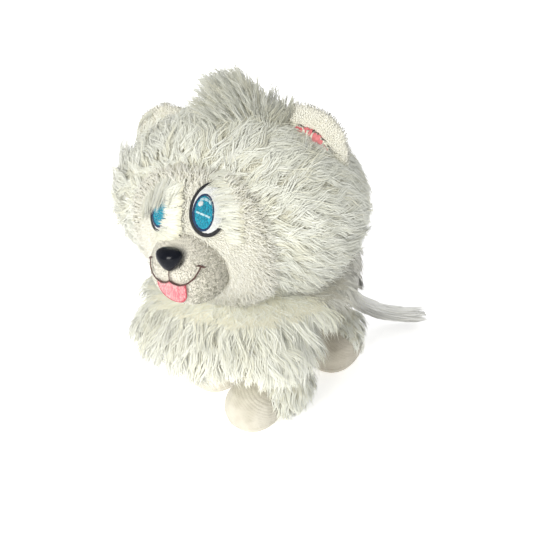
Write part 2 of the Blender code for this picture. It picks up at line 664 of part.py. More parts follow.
def make_belly_panel():
    """Short-pile underside: a frame round the door and switch, slotted for the levers."""
    half = ROD_ROOM_HALF - GAP
    front, rear = HIP_FRONT_Y - 10 * MM + GAP, HIP_REAR_Y + 10 * MM - GAP
    panel = block((-half, front, SKIN_LOW), (half, rear, CHASSIS_FLOOR - 2 * GAP))
    obj = piece("belly_panel", panel, SHORT_PILE)
    reach = CHASSIS_HALF - 3 * MM
    carve(obj, block((-reach, SWITCH_Y - 9 * MM, 0), (reach, BAY_REAR + 0.8 * MM, 0.1)))
    for side in (-1, 1):
        for hip_y in (HIP_FRONT_Y, HIP_REAR_Y):
            low_x = side * HIP_X - 3 * MM
            slot = block((low_x, hip_y - 9.4 * MM, 0), (low_x + 6 * MM, hip_y + 9.4 * MM, 0.1))
            carve(obj, slot)
    return obj


# --- head ---------------------------------------------------------------------------
FACE = ((0, -20 * MM, -6 * MM), (52 * MM, 46 * MM, 46 * MM))
OPENING = ((0, -70 * MM, -12 * MM), (45 * MM, 46 * MM, 46 * MM))
MUZZLE = ((0, -61 * MM, -17 * MM), (22.5 * MM, 19.5 * MM, 20.5 * MM))
NOSE = ((0, -79 * MM, -3.6 * MM), (9 * MM, 6 * MM, 6.7 * MM))
STUFFING_RADII = (58 * MM, 42 * MM, 40 * MM)
EAR_RADII = (26 * MM, 5 * MM, 30 * MM)
EARS = {                  # for each side: the middle, and degrees the ear leans outward
    1: ((41 * MM, 4.5 * MM, 28 * MM), 15.0),
    -1: ((-46 * MM, 5 * MM, 21 * MM), -30.0),
}
EYE_X = 14.2 * MM
EYE_Z = 15.7 * MM
EYE_RISE = 1.3 * MM       # the left eye is sewn on higher than the right one
EYE_RADII = (8 * MM, 11.6 * MM)
PATCH_LOW = 0.9 * MM      # an embroidered patch lies between these lifts
PATCH_HIGH = 1.9 * MM
FACE_ROOM = 1.0 * MM      # the long fur stands this far clear of the short-pile face


def on_ellipsoid(solid, x, z, lift):
    """Point on the front of an ellipsoid, lifted forward off its surface."""
    centre, radii = solid
    inside = 1 - ((x - centre[0]) / radii[0]) ** 2 - ((z - centre[2]) / radii[2]) ** 2
    return Vector((x, centre[1] - radii[1] * math.sqrt(max(inside, 0.02)) - lift, z))


def patch(solid, middle, radii, tilt, low, high, rings=2, sides=20):
    """Thin oval that follows the front of an ellipsoid between two lifts."""
    work = bmesh.new()
    turn = math.radians(tilt)
    layers = []
    for lift in (low, high):
        layer = [[work.verts.new(on_ellipsoid(solid, middle[0], middle[1], lift))]]
        for ring in range(1, rings + 1):
            loop = []
            for i in range(sides):
                angle = 2 * math.pi * i / sides
                x = radii[0] * ring / rings * math.cos(angle)
                z = radii[1] * ring / rings * math.sin(angle)
                across = middle[0] + x * math.cos(turn) - z * math.sin(turn)
                up = middle[1] + x * math.sin(turn) + z * math.cos(turn)
                loop.append(work.verts.new(on_ellipsoid(solid, across, up, lift)))
            layer.append(loop)
        layers.append(layer)
    for layer in layers:
        for i in range(sides):
            j = (i + 1) % sides
            work.faces.new((layer[0][0], layer[1][i], layer[1][j]))
            for inner, outer in zip(layer[1:], layer[2:]):
                work.faces.new((inner[i], outer[i], outer[j], inner[j]))
    back, front = layers[0][-1], layers[1][-1]
    for i in range(sides):
        j = (i + 1) % sides
        work.faces.new((back[i], back[j], front[j], front[i]))
    return work


def ear_solid(side, grow=0.0):
    """Round flat ear, leaning outward."""
    work = blob((0, 0, 0), EAR_RADII, 2.2, 8, 16, grow)
    centre, tilt = EARS[side]
    work.transform(Matrix.Rotation(math.radians(tilt), 4, "Y"))
    return shifted(work, centre)


def lining_solid(side, grow=0.0):
    """Satin pad let into the front of the ear."""
    radii = (EAR_RADII[0] * 0.62, 2.4 * MM, EAR_RADII[2] * 0.62)
    work = blob((0, -EAR_RADII[1] + 0.6 * MM, 1 * MM), radii, 2.2, 6, 12, grow)
    centre, tilt = EARS[side]
    work.transform(Matrix.Rotation(math.radians(tilt), 4, "Y"))
    return shifted(work, centre)


def make_head():
    """The head faces -Y in the frame of its own empty, which is turned at rest."""
    pivot = bpy.data.objects.new("head_pivot", None)
    bpy.context.scene.collection.objects.link(pivot)
    pivot.location = (0, NECK_Y, HEAD_Z)
    pivot.rotation_euler = (0, 0, math.radians(HEAD_YAW))
    base = HEAD_BASE_Z - HEAD_Z

    fur = piece("head_fur", blob((0, 0, 0), HEAD, 2.0, 12, 24), FUR, parent=pivot)
    tuft = blob((4 * MM, -4 * MM, 58 * MM), (14 * MM, 11 * MM, 15 * MM), 2.0, 8, 12)
    join(fur, tuft, parent=pivot)
    under = block((-0.2, -0.2, -0.2), (0.2, 0.2, base))
    hollow = blob((0, 0, 0), STUFFING_RADII, 2.0, 8, 16, GAP)
    opening = disc(24 * MM, base - 5 * MM, -20 * MM, 24)
    carve(fur, under, hollow, opening, blob(*OPENING, 3.0, 10, 20),
          blob(*MUZZLE, 2.0, 10, 20, FACE_ROOM), parent=pivot)
    for side in (-1, 1):
        carve(fur, ear_solid(side, GAP), lining_solid(side, GAP), parent=pivot,
              solver="MANIFOLD")
    smooth(fur, 50)

    stuffing = piece("head_stuffing", blob((0, 0, 0), STUFFING_RADII, 2.0, 8, 16),
                     STUFFING, parent=pivot)
    flat = block((-0.2, -0.2, -0.2), (0.2, 0.2, -36 * MM))
    carve(stuffing, flat, ear_solid(-1, GAP), ear_solid(1, GAP), lining_solid(-1, GAP),
          lining_solid(1, GAP), parent=pivot, solver="MANIFOLD")
    smooth(stuffing, 50)

    face = piece("face_panel", blob(*FACE, 2.0, 12, 24), SHORT_PILE, parent=pivot)
    edge = blob(*OPENING, 3.0, 10, 20, -FACE_ROOM)
    combine(face, "INTERSECT", [edge], pivot)
    backing = blob((0, 0, 0), STUFFING_RADII, 2.0, 8, 16, 2 * GAP)
    carve(face, backing, blob(*MUZZLE, 2.0, 10, 20, GAP), parent=pivot)
    smooth(face, 50)
    muzzle = piece("muzzle", blob(*MUZZLE, 2.0, 10, 20), MUZZLE_PILE, parent=pivot)
    carve(muzzle, blob(*NOSE, 2.2, 8, 14, GAP), parent=pivot)
    smooth(muzzle, 50)
    smooth(piece("nose", blob(*NOSE, 2.2, 8, 14), GLOSS_BLACK, parent=pivot), 60)

    for name, side in (("left", 1), ("right", -1)):
        eye = patch(FACE, (side * EYE_X, EYE_Z + side * EYE_RISE), EYE_RADII, side * 6,
                    PATCH_LOW, PATCH_HIGH)
        piece(f"{name}_eye", eye, THREAD_BLUE, parent=pivot)
        ear = piece(f"{name}_ear", ear_solid(side), SHORT_PILE, parent=pivot)
        smooth(carve(ear, lining_solid(side, GAP), parent=pivot), 50)
        smooth(piece(f"{name}_ear_lining", lining_solid(side), PINK_SATIN, parent=pivot), 50)
    tongue = patch(MUZZLE, (0, -26 * MM), (8.5 * MM, 6 * MM), 0,
                   PATCH_LOW, PATCH_HIGH)
    piece("tongue", tongue, PINK_SATIN, parent=pivot)

    turntable = turned([(0, 66 * MM - HEAD_Z), (6 * MM, 66 * MM - HEAD_Z),
                        (6 * MM, base + 1 * MM), (20 * MM, base + 1 * MM),
                        (20 * MM, base + 3 * MM), (6 * MM, base + 3 * MM),
                        (6 * MM, -37 * MM), (0, -37 * MM)], 24)
    smooth(piece("head_turntable", turntable, CASE_WHITE, parent=pivot))


def make_neck_bearing():
    """Flanged tube on the chassis cover, in which the head's spindle turns."""
    low = CHASSIS_TOP + GAP
    tube = turned([(6.4 * MM, low), (16 * MM, low), (16 * MM, low + 2 * MM),
                   (9 * MM, low + 2 * MM), (9 * MM, low + 5 * MM),
                   (6.4 * MM, low + 5 * MM)], 24)
    smooth(piece("neck_bearing", shifted(tube, (0, NECK_Y, 0)), DARK_PLASTIC))


# --- tail ---------------------------------------------------------------------------
def make_tail():
    """Upright peg in the chassis lug, an arm to the rear, and the long-haired plume."""
    axis = (0, TAIL_Y, 50 * MM)
    peg = turned([(0, 47 * MM), (2 * MM, 47 * MM), (2 * MM, 53.5 * MM), (4 * MM, 53.5 * MM),
                  (4 * MM, 56.5 * MM), (0, 56.5 * MM)])
    obj = piece("tail_peg", shifted(peg, (0, TAIL_Y, 0)), CASE_WHITE, axis)
    arm = block((-3 * MM, TAIL_Y + 2 * MM, 53.5 * MM), (3 * MM, TAIL_Y + 18 * MM, 56.5 * MM))
    join(obj, arm)

    root = Vector((0, TAIL_Y + 8 * MM, 47 * MM))
    bend = Vector((20 * MM, TAIL_Y + 14 * MM, 3 * MM))
    tip = Vector((62 * MM, TAIL_Y + 42 * MM, 7 * MM))
    sections, sides = 9, 12
    work = bmesh.new()
    rings = []
    for i in range(sections):
        t = i / (sections - 1)
        middle = root * (1 - t) ** 2 + bend * 2 * t * (1 - t) + tip * t ** 2
        along = ((bend - root) * (1 - t) + (tip - bend) * t).normalized()
        across = along.cross(Vector((0, 0, 1))).normalized()
        above = across.cross(along)
        swell = math.sin(math.pi * (0.2 + 0.65 * t)) ** 0.8
        wide, tall = 7.5 * MM * swell, 6 * MM * (1 - 0.5 * t) * swell
        rings.append([work.verts.new(
            middle + across * wide * math.cos(2 * math.pi * k / sides)
            + above * tall * math.sin(2 * math.pi * k / sides)) for k in range(sides)])
    for ring, following in zip(rings, rings[1:]):
        for k in range(sides):
            j = (k + 1) % sides
            work.faces.new((ring[k], ring[j], following[j], following[k]))
    work.faces.new(rings[0])
    work.faces.new(list(reversed(rings[-1])))
    plume = piece("tail_plume", work, FUR, axis)
    pocket = block((-3 * MM - GAP, TAIL_Y - 4 * MM, 53.5 * MM - GAP),
                   (3 * MM + GAP, TAIL_Y + 18 * MM + GAP, 56.5 * MM + GAP))
    room = shifted(disc(4 * MM + GAP, 40 * MM, 60 * MM, 24), (0, TAIL_Y, 0))
    smooth(carve(plume, pocket, room), 50)


def main():
    clear_scene()
    make_chassis_tray()
    make_chassis_cover()
    make_battery_door()
    make_batteries()
    make_circuit_board()
    make_speaker()
    make_switch()
    make_press_button()
    make_gear_train()
    make_crank()
    for leg in legs():
        make_leg(*leg)
    make_side_rod("left", 1)
    make_side_rod("right", -1)
    make_body_skin()
    make_belly_panel()
    make_neck_bearing()
    make_head()
    make_tail()


main()
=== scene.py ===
"""Looks of the plush puppy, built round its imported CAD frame.

Long fur, short pile and embroidery are real geometry: tapered strands and threads
grown from skins that are relaxed copies of the CAD solids. Sizes are in metres, and
MM and mm() turn millimetres into them.
"""

import json
import math
from functools import cache
from typing import NamedTuple

import bpy
import numpy as np
from mathutils import Matrix, Vector

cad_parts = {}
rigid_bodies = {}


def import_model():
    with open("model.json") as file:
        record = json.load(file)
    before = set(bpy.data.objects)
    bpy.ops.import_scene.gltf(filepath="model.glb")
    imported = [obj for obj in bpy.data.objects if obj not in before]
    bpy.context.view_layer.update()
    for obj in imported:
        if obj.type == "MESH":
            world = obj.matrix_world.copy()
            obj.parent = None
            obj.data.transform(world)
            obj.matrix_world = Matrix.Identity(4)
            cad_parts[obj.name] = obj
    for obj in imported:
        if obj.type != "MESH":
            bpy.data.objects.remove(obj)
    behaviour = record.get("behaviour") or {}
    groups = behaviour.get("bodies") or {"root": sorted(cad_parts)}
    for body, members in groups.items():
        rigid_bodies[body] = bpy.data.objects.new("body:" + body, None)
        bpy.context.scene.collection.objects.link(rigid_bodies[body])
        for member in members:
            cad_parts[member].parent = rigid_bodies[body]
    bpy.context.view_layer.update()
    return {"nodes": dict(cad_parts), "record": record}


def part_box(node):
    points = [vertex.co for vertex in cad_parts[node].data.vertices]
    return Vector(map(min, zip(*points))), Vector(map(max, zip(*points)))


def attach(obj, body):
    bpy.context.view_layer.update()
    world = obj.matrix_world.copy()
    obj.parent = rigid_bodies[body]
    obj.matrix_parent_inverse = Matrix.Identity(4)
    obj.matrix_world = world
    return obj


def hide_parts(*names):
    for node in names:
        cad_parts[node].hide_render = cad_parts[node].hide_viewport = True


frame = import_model()

MM = 0.001
NODES = frame["nodes"]
DOWN = np.array((0.0, 0.0, -1.0))


def mm(*values):
    return np.array(values, float) * MM


# --- places that the frame gives ----------------------------------------------------
NECK_Y = (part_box("neck_bearing")[0].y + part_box("neck_bearing")[1].y) / 2
TAIL_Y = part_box("tail_peg")[0].y + 4 * MM

# --- the head's own shapes, in its frame, which faces -Y -------------------------------
HEAD_CENTRE = np.array((0.0, NECK_Y, 130 * MM))
HEAD_YAW = math.radians(7)
HEAD = (mm(0, 0, 0), mm(82, 64, 60))
FACE = (mm(0, -20, -6), mm(52, 46, 46))
MUZZLE = (mm(0, -61, -17), mm(22.5, 19.5, 20.5))
FACE_EDGE = (mm(0, -70, -12), mm(45, 46, 46))
NOSE = (mm(0, -79, -3.6), mm(9.2, 6.2, 6.8))
PARTING = mm(0, -62, -4)          # the long hair flows away from here
OUTER_SIDE = 0.78                 # share of the head's radii that its outer side lies beyond
HAIR_LOW = -53 * MM               # the head's underside, below this, has no hair
HAIR_FLOOR = 75 * MM              # head hair stays above the torso, in the object's frame
CROWN = 38 * MM
TUFT = (mm(3, -4), 15 * MM, mm(15, 0, 26))       # middle, radius, where its hair fans from
CREST = (mm(24, -2), 10 * MM, mm(16, 0, 20))
LEFT_EAR_FRONT = (mm(36, -4, 36), 17 * MM)       # shorter hair, so that the ear shows

# --- each eye: middle across and up, half sizes, lean ---------------------------------
EYE_HALF = mm(9.6, 12.4)
IRIS_HALF = mm(5.5, 8.4)
EYE_LEAN = 14.0
GAZE = mm(-1.9, -1.0)             # the irises look to the puppy's right
EYES = {1: mm(13.5, 16.3), -1: mm(-13.5, 13.7)}

# --- body shapes -----------------------------------------------------------------
PELT_DEPTH = 8 * MM               # how far the long fur's skin lies under the CAD surface
RUFF = (np.array((0, NECK_Y - 30 * MM, 55 * MM)), mm(62, 40, 27))
BODY = (np.array((0, NECK_Y + 25 * MM, 68 * MM)), mm(50, 60, 32))
RUFF_LOW, BODY_LOW, RUMP_LOW = 33 * MM, 34 * MM, 41 * MM     # no hair hangs lower
LEGS = ("front_left", "front_right", "rear_left", "rear_right")

# --- camera: direction, distance and the point it looks at ----------------------------
VIEW_AZIMUTH = math.radians(37)
VIEW_ELEVATION = math.radians(26.5)
VIEW_ROLL = math.radians(4.5)
VIEW_DISTANCE = 0.560
VIEW_LENS = 63.04
VIEW_TARGET = Vector((15.3 * MM, NECK_Y - 2.1 * MM, 88.1 * MM))

# --- fibre tones: three for strands, then a darker one at their roots, painted shade where the locks meet the skin ---
def tones(kind, names, *colours):
    return tuple((f"{kind}_{name}", colour) for name, colour in zip(names.split(), colours))


FUR_TONES = tones("fur", "white cream warm root",
                  (0.91, 0.92, 0.83), (0.89, 0.895, 0.785),
                  (0.86, 0.855, 0.71), (0.86, 0.84, 0.69))
# The head, tuft, fringe, ear and cuff hair is the same white fur as FUR_TONES in darker tones:
# painted shade. FUR_TONES, on the ruff and collar, is the lit copy.
HEAD_TONES = tones("head", "white cream warm root",
                   (0.78, 0.79, 0.715), (0.74, 0.75, 0.66),
                   (0.71, 0.705, 0.585), (0.71, 0.695, 0.565))
# The body, nape and rump hair is the same white fur in still darker tones: painted shade on the
# back and flanks.
SHADED_TONES = tones("fur_painted_shade", "light cream warm root",
                     (0.75, 0.745, 0.675), (0.69, 0.68, 0.605),
                     (0.63, 0.615, 0.53), (0.57, 0.55, 0.46))
PILE_TONES = tones("pile", "light cream warm root",
                   (0.86, 0.85, 0.77), (0.83, 0.815, 0.725),
                   (0.78, 0.76, 0.655), (0.73, 0.71, 0.60))
# The grey and olive tones carry most of the muzzle's painted shade.
MUZZLE_TONES = tones("muzzle", "light beige grey olive",
                     (0.83, 0.80, 0.71), (0.71, 0.68, 0.58),
                     (0.48, 0.465, 0.38), (0.28, 0.27, 0.20))
# The tail hair is the same white fur in lighter tones: painted light against the body's shadow over
# it.
TAIL_TONES = tones("tail", "white silver grey root",
                   (0.95, 0.95, 0.91), (0.91, 0.91, 0.87), (0.82, 0.82, 0.77), (0.72, 0.72, 0.67))


# --- materials ---------------------------------------------------------------------
def new_material(name, colour, roughness, metallic=0.0, **sockets):
    """Principled material; sockets gives other constants by socket name."""
    made = bpy.data.materials.new(name)
    made.use_nodes = True
    shader = made.node_tree.nodes["Principled BSDF"]
    shader.inputs["Base Color"].default_value = (*colour, 1.0)
    shader.inputs["Roughness"].default_value = roughness
    shader.inputs["Metallic"].default_value = metallic
    for socket, value in sockets.items():
        shader.inputs[socket.replace("_", " ")].default_value = value
    return made


class Surface:
    """A new material with procedural detail: colour, roughness and bump from nodes."""

    def __init__(self, *values, **sockets):
        self.made = new_material(*values, **sockets)
        self.tree = self.made.node_tree
        self.shader = self.tree.nodes["Principled BSDF"]
        self.place = self.node("ShaderNodeTexCoord").outputs["Object"]

    def node(self, kind, **values):
        made = self.tree.nodes.new(kind)
        for key, value in values.items():
            setattr(made, key, value)
        return made

    def link(self, source, target):
        self.tree.links.new(source, target)

    def scaled(self, scale):
        """The place in the object, stretched by a factor for each axis."""
        mapping = self.node("ShaderNodeMapping")
        mapping.inputs["Scale"].default_value = scale
        self.link(self.place, mapping.inputs["Vector"])
        return mapping.outputs["Vector"]

    def texture(self, made, output, stretch=(1, 1, 1), **inputs):
        for key, value in inputs.items():
            made.inputs[key].default_value = value
        self.link(self.scaled(stretch), made.inputs["Vector"])
        return made.outputs[output]

    def noise(self, scale, detail=4.0, stretch=(1, 1, 1)):
        made = self.node("ShaderNodeTexNoise")
        return self.texture(made, "Fac", stretch, Scale=scale, Detail=detail)

    def wave(self, scale, distortion=0.0, direction="Z"):
        made = self.node("ShaderNodeTexWave", bands_direction=direction)
        return self.texture(made, "Fac", Scale=scale, Distortion=distortion)

    def cells(self, scale):
        return self.texture(self.node("ShaderNodeTexVoronoi"), "Distance", Scale=scale)

    def ramp(self, factor, low, high, start=0.3, end=0.7):
        """A colour that goes from low to high as factor goes from start to end."""
        made = self.node("ShaderNodeValToRGB")
        made.color_ramp.elements[0].position = start
        made.color_ramp.elements[0].color = (*low, 1.0)
        made.color_ramp.elements[1].position = end
        made.color_ramp.elements[1].color = (*high, 1.0)
        self.link(factor, made.inputs["Fac"])
        return made.outputs["Color"]

    def span(self, factor, low, high):
        """A number that goes from low to high as factor goes from 0 to 1."""
        made = self.node("ShaderNodeMapRange")
        made.inputs["To Min"].default_value = low
        made.inputs["To Max"].default_value = high
        self.link(factor, made.inputs["Value"])
        return made.outputs["Result"]

    def combined(self, operation, one, other):
        made = self.node("ShaderNodeMath", operation=operation)
        self.link(one, made.inputs[0])
        self.link(other, made.inputs[1])
        return made.outputs["Value"]

    def colour(self, *values):
        self.link(self.ramp(*values), self.shader.inputs["Base Color"])

    def roughness(self, *values):
        self.link(self.span(*values), self.shader.inputs["Roughness"])

    def bump(self, height, distance, strength=1.0):
        made = self.node("ShaderNodeBump")
        made.inputs["Distance"].default_value = distance
        made.inputs["Strength"].default_value = strength
        self.link(height, made.inputs["Height"])
        self.link(made.outputs["Normal"], self.shader.inputs["Normal"])


GLOW = 0.10               # of fibres


@cache
def fibres(tones):
    """One plain material for each tone; what varies is which strand has which tone.

    The faint glow stands for the light that scatters through the pale fibres.
    """
    return [new_material(name, colour, 0.6, Sheen_Weight=0.3, Sheen_Roughness=0.4,
                         Emission_Color=(*colour, 1.0), Emission_Strength=GLOW)
            for name, colour in tones]


@cache
def backing(name, light, dark):
    """Knitted backing cloth, seen between the fibres."""
    cloth = Surface(name, light, 0.9, Sheen_Weight=0.3)
    knit = cloth.combined("MULTIPLY", cloth.wave(250, 1.5, "Z"), cloth.wave(250, 1.5, "X"))
    cloth.colour(cloth.noise(160, 5), dark, light, 0.3, 0.65)
    cloth.bump(cloth.combined("ADD", knit, cloth.noise(900, 6)), 0.5 * MM, 0.8)
    return cloth.made


@cache
def knit(name, light, dark):
    """Brushed knit whose loops are modelled: the fuzz on them and their uneven dye."""
    cloth = Surface(name, light, 0.85, Sheen_Weight=0.35, Sheen_Roughness=0.5)
    cloth.colour(cloth.noise(120, 6), dark, light, 0.3, 0.62)
    cloth.roughness(cloth.noise(700), 0.75, 0.95)
    cloth.bump(cloth.combined("ADD", cloth.noise(2600, 5), cloth.noise(900, 4)), 0.25 * MM, 0.7)
    return cloth.made


@cache
def satin(name, light, dark):
    """Woven satin: long floats along one way, soft creases with painted shade in their troughs, a
    clear sheen.
    """
    cloth = Surface(name, light, 0.35, Sheen_Weight=0.5, Sheen_Roughness=0.25)
    floats = cloth.wave(900, 0.6, "X")
    crease = cloth.noise(90, 4, (1, 1, 2.4))
    # the colour follows the crease noise that raises the bump, darker in its troughs: painted shade
    # in the creases
    cloth.colour(crease, dark, light, 0.3, 0.62)
    cloth.roughness(cloth.noise(300), 0.28, 0.5)
    cloth.bump(cloth.combined("ADD", floats, crease), 0.22 * MM, 0.6)
    return cloth.made


@cache
def thread(name, light, dark):
    """Twisted embroidery thread with a silky gloss."""
    yarn = Surface(name, light, 0.45, Sheen_Weight=0.06)
    yarn.colour(yarn.noise(900, 3), dark, light, 0.35, 0.6)
    yarn.bump(yarn.wave(2200, 1.0, "DIAGONAL"), 0.08 * MM, 0.6)
    return yarn.made


@cache
def wadding(name, light, dark):
    """Polyester fibre fill: matted white fluff."""
    fluff = Surface(name, light, 0.95, Sheen_Weight=0.4)
    fluff.colour(fluff.noise(220, 8), dark, light, 0.3, 0.6)
    fluff.bump(fluff.combined("ADD", fluff.noise(500, 10, (1, 3, 1)), fluff.cells(260)), 1.2 * MM)
    return fluff.made


@cache
def plastic(name, light, dark, roughness):
    """Moulded plastic: spark-eroded grain, faint flow marks and handling scuffs."""
    shell = Surface(name, light, roughness, IOR=1.5)
    flow = shell.noise(45, 3, (1, 2.5, 1))
    scuffs = shell.noise(700, 2, (1, 9, 1))
    shell.colour(flow, dark, light, 0.3, 0.6)
    shell.roughness(scuffs, roughness - 0.1, roughness + 0.18)
    shell.bump(shell.combined("ADD", shell.noise(3000, 4), shell.noise(300, 2)), 0.05 * MM, 0.5)
    return shell.made


@cache
def metal(name, light, dark, roughness):
    """Turned or drawn metal: fine tool lines round X, with dulled patches."""
    part = Surface(name, light, roughness, 1.0)
    lines = part.wave(1500, 2.0, "X")
    part.colour(part.noise(260, 5), dark, light, 0.3, 0.6)
    part.roughness(part.noise(420, 4), roughness - 0.08, roughness + 0.22)
    part.bump(part.combined("ADD", lines, part.noise(2500, 3)), 0.03 * MM, 0.6)
    return part.made


@cache
def board(name, light, dark):
    """Solder mask over copper tracks."""
    face = Surface(name, light, 0.35, Coat_Weight=0.3)
    tracks = face.combined("MAXIMUM", face.wave(95, 0.0, "X"), face.wave(60, 0.0, "Y"))
    face.colour(tracks, dark, light, 0.86, 0.9)
    face.roughness(face.noise(800), 0.25, 0.5)
    face.bump(tracks, 0.06 * MM, 0.5)
    return face.made


@cache
def cell_wrap(name, light, dark):
    """Plain printed sleeve of a battery cell: one broad band, shrink wrinkles."""
    sleeve = Surface(name, light, 0.3, Coat_Weight=0.4)
    sleeve.colour(sleeve.wave(7.0, 0.0, "Y"), dark, light, 0.62, 0.64)
    sleeve.roughness(sleeve.noise(500), 0.22, 0.4)
    sleeve.bump(sleeve.noise(600, 3, (1, 0.2, 1)), 0.06 * MM, 0.5)
    return sleeve.made


# --- mesh helpers ------------------------------------------------------------------
def unit(vectors):
    return vectors / np.maximum(np.linalg.norm(vectors, axis=-1, keepdims=True), 1e-9)


def flattened(vectors, normals):
    """The part of each vector that lies along the surface, as a unit vector."""
    along = np.sum(vectors * normals, axis=-1, keepdims=True) * normals
    return unit(vectors - along)


def smoothstep(values, low, high):
    share = np.clip((values - low) / (high - low), 0, 1)
    return share * share * (3 - 2 * share)


def new_object(name, mesh):
    obj = bpy.data.objects.new(name, mesh)
    bpy.context.scene.collection.objects.link(obj)
    return obj


def dressed(obj, body, materials, replaced=()):
    """Give a finished piece its materials and body, and hide the CAD parts that it replaces."""
    for made in materials:
        obj.data.materials.append(made)
    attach(obj, body)
    if replaced:
        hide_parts(*replaced)


def mesh_from(name, verts, faces_by_size, slots_by_size):
    """Mesh from vertex rows and, for each face size, arrays of corners and slots."""
    mesh = bpy.data.meshes.new(name)
    corners = np.concatenate([faces.ravel() for faces in faces_by_size])
    sizes = np.concatenate([np.full(len(faces), faces.shape[1]) for faces in faces_by_size])
    starts = np.concatenate(([0], np.cumsum(sizes)[:-1]))
    mesh.vertices.add(len(verts))
    mesh.vertices.foreach_set("co", verts.astype(np.float32).ravel())
    mesh.loops.add(len(corners))
    mesh.loops.foreach_set("vertex_index", corners.astype(np.int32))
    mesh.polygons.add(len(sizes))
    mesh.polygons.foreach_set("loop_start", starts.astype(np.int32))
    mesh.polygons.foreach_set("material_index", np.concatenate(slots_by_size).astype(np.int32))
    mesh.update(calc_edges=True)
    mesh.shade_smooth()
    return mesh


def both_ways(shading, lit):
    """The direction lit for sides that look forward, and its mirror image for the others."""
    back = smoothstep(shading[..., 1:2], 0.0, 0.5)
    lit = unit(np.array(lit))
    return lit * (1 - back) + lit * (1, -1, 1) * back


def tubes(name, paths, radii, facing, slots, sides=3, flat=1.0, pointed=True, soft=0.0, lit=None):
    """Closed tubes along paths (count, points, 3), as one mesh.

    radii is (count, points); facing (count, 3) says which way a flat tube's broad
    side looks; slots (count, points - 1) is each segment's material slot. With soft, the
    shading normals turn towards facing, as light that scatters through fur makes them, or
    towards lit on the front and its mirror image on the back.
    """
    count, points = paths.shape[:2]
    along = unit(np.gradient(paths, axis=1))
    across = unit(np.cross(along, facing[:, None, :]))
    above = np.cross(along, across)
    rings = points - 1 if pointed else points
    turns = 2 * np.pi * np.arange(sides) / sides
    ring = (across[:, :rings, None] * np.cos(turns)[:, None]
            + above[:, :rings, None] * np.sin(turns)[:, None] * flat)
    verts = paths[:, :rings, None] + ring * radii[:, :rings, None, None]
    verts = verts.reshape(count, rings * sides, 3)
    shading = unit(ring).reshape(count, rings * sides, 3)
    if pointed:
        verts = np.concatenate((verts, paths[:, -1:]), axis=1)
        shading = np.concatenate((shading, along[:, -1:]), axis=1)
    per = verts.shape[1]
    base = (np.arange(count) * per)[:, None]
    quads, quad_slots, ends, end_slots = [], [], [], []
    for step in range(rings - 1):
        for i in range(sides):
            j = (i + 1) % sides
            low, high = step * sides, (step + 1) * sides
            quads.append(base + np.array((low + i, low + j, high + j, high + i)))
            quad_slots.append(slots[:, step])
    last = (rings - 1) * sides
    caps = [base + np.arange(sides)[::-1]]
    cap_slots = [slots[:, 0]]
    if pointed:
        for i in range(sides):
            ends.append(base + np.array((last + i, last + (i + 1) % sides, per - 1)))
            end_slots.append(slots[:, -1])
    else:
        caps.append(base + last + np.arange(sides))
        cap_slots.append(slots[:, -1])
    groups = [(quads, quad_slots), (ends, end_slots), (caps, cap_slots)]
    faces_by_size = [np.concatenate(faces) for faces, _ in groups if faces]
    slots_by_size = [np.concatenate(chosen) for _, chosen in groups if chosen]
    mesh = mesh_from(name, verts.reshape(-1, 3), faces_by_size, slots_by_size)
    if soft:
        towards = facing[:, None] if lit is None else both_ways(shading, lit)
        shading = unit(shading * (1 - soft) + towards * soft).reshape(-1, 3)
        mesh.normals_split_custom_set_from_vertices(shading)
    return mesh


def relaxed_copy(node, name, voxel, rounds=6, subdivisions=0):
    """A smooth skin in the CAD solid's shape: remeshed, relaxed, and applied."""
    obj = new_object(name, NODES[node].data.copy())
    obj.data.materials.clear()
    remesh = obj.modifiers.new("remesh", "REMESH")
    remesh.mode = "VOXEL"
    remesh.voxel_size = voxel
    relax = obj.modifiers.new("relax", "SMOOTH")
    relax.factor = 0.5
    relax.iterations = rounds
    if subdivisions:
        finer = obj.modifiers.new("finer", "SUBSURF")
        finer.levels = finer.render_levels = subdivisions
    bpy.context.view_layer.update()
    depsgraph = bpy.context.evaluated_depsgraph_get()
    mesh = bpy.data.meshes.new_from_object(obj.evaluated_get(depsgraph))
    obj.modifiers.clear()
    obj.data = mesh
    mesh.shade_smooth()
    return obj


def points_of(obj):
    """Vertex places and normals as arrays."""
    mesh = obj.data
    places = np.empty(len(mesh.vertices) * 3)
    normals = np.empty(len(mesh.vertices) * 3)
    mesh.vertices.foreach_get("co", places)
    mesh.vertex_normals.foreach_get("vector", normals)
    return places.reshape(-1, 3), normals.reshape(-1, 3)


def move_points(obj, places):
    obj.data.vertices.foreach_set("co", places.astype(np.float32).ravel())
    obj.data.update()


def scatter(obj, spacing, seed, keep):
    """Points spread over obj's surface at least spacing apart, where keep allows."""
    rng = np.random.default_rng(seed)
    mesh = obj.data
    mesh.calc_loop_triangles()
    corners = np.empty(len(mesh.loop_triangles) * 3, np.int32)
    mesh.loop_triangles.foreach_get("vertices", corners)
    places, _ = points_of(obj)
    a, b, c = (places[corners.reshape(-1, 3)[:, i]] for i in range(3))
    cross = np.cross(b - a, c - a)
    area = np.linalg.norm(cross, axis=1) / 2
    tries = int(area.sum() / spacing ** 2 * 3.0)
    pick = rng.choice(len(area), tries, p=area / area.sum())
    u, v = rng.random(tries), rng.random(tries)
    flip = u + v > 1
    u[flip], v[flip] = 1 - u[flip], 1 - v[flip]
    found = a[pick] + (b - a)[pick] * u[:, None] + (c - a)[pick] * v[:, None]
    facing = unit(cross[pick])
    chosen = keep(found, facing)
    found, facing = found[chosen], facing[chosen]
    cells, kept = {}, []
    for index, key in enumerate(map(tuple, np.floor(found / spacing).astype(int))):
        near = [n for dx in (-1, 0, 1) for dy in (-1, 0, 1) for dz in (-1, 0, 1)
                for n in cells.get((key[0] + dx, key[1] + dy, key[2] + dz), ())]
        if near and np.min(np.sum((found[near] - found[index]) ** 2, axis=1)) < spacing ** 2:
            continue
        cells.setdefault(key, []).append(index)
        kept.append(index)
    return found[kept], facing[kept]


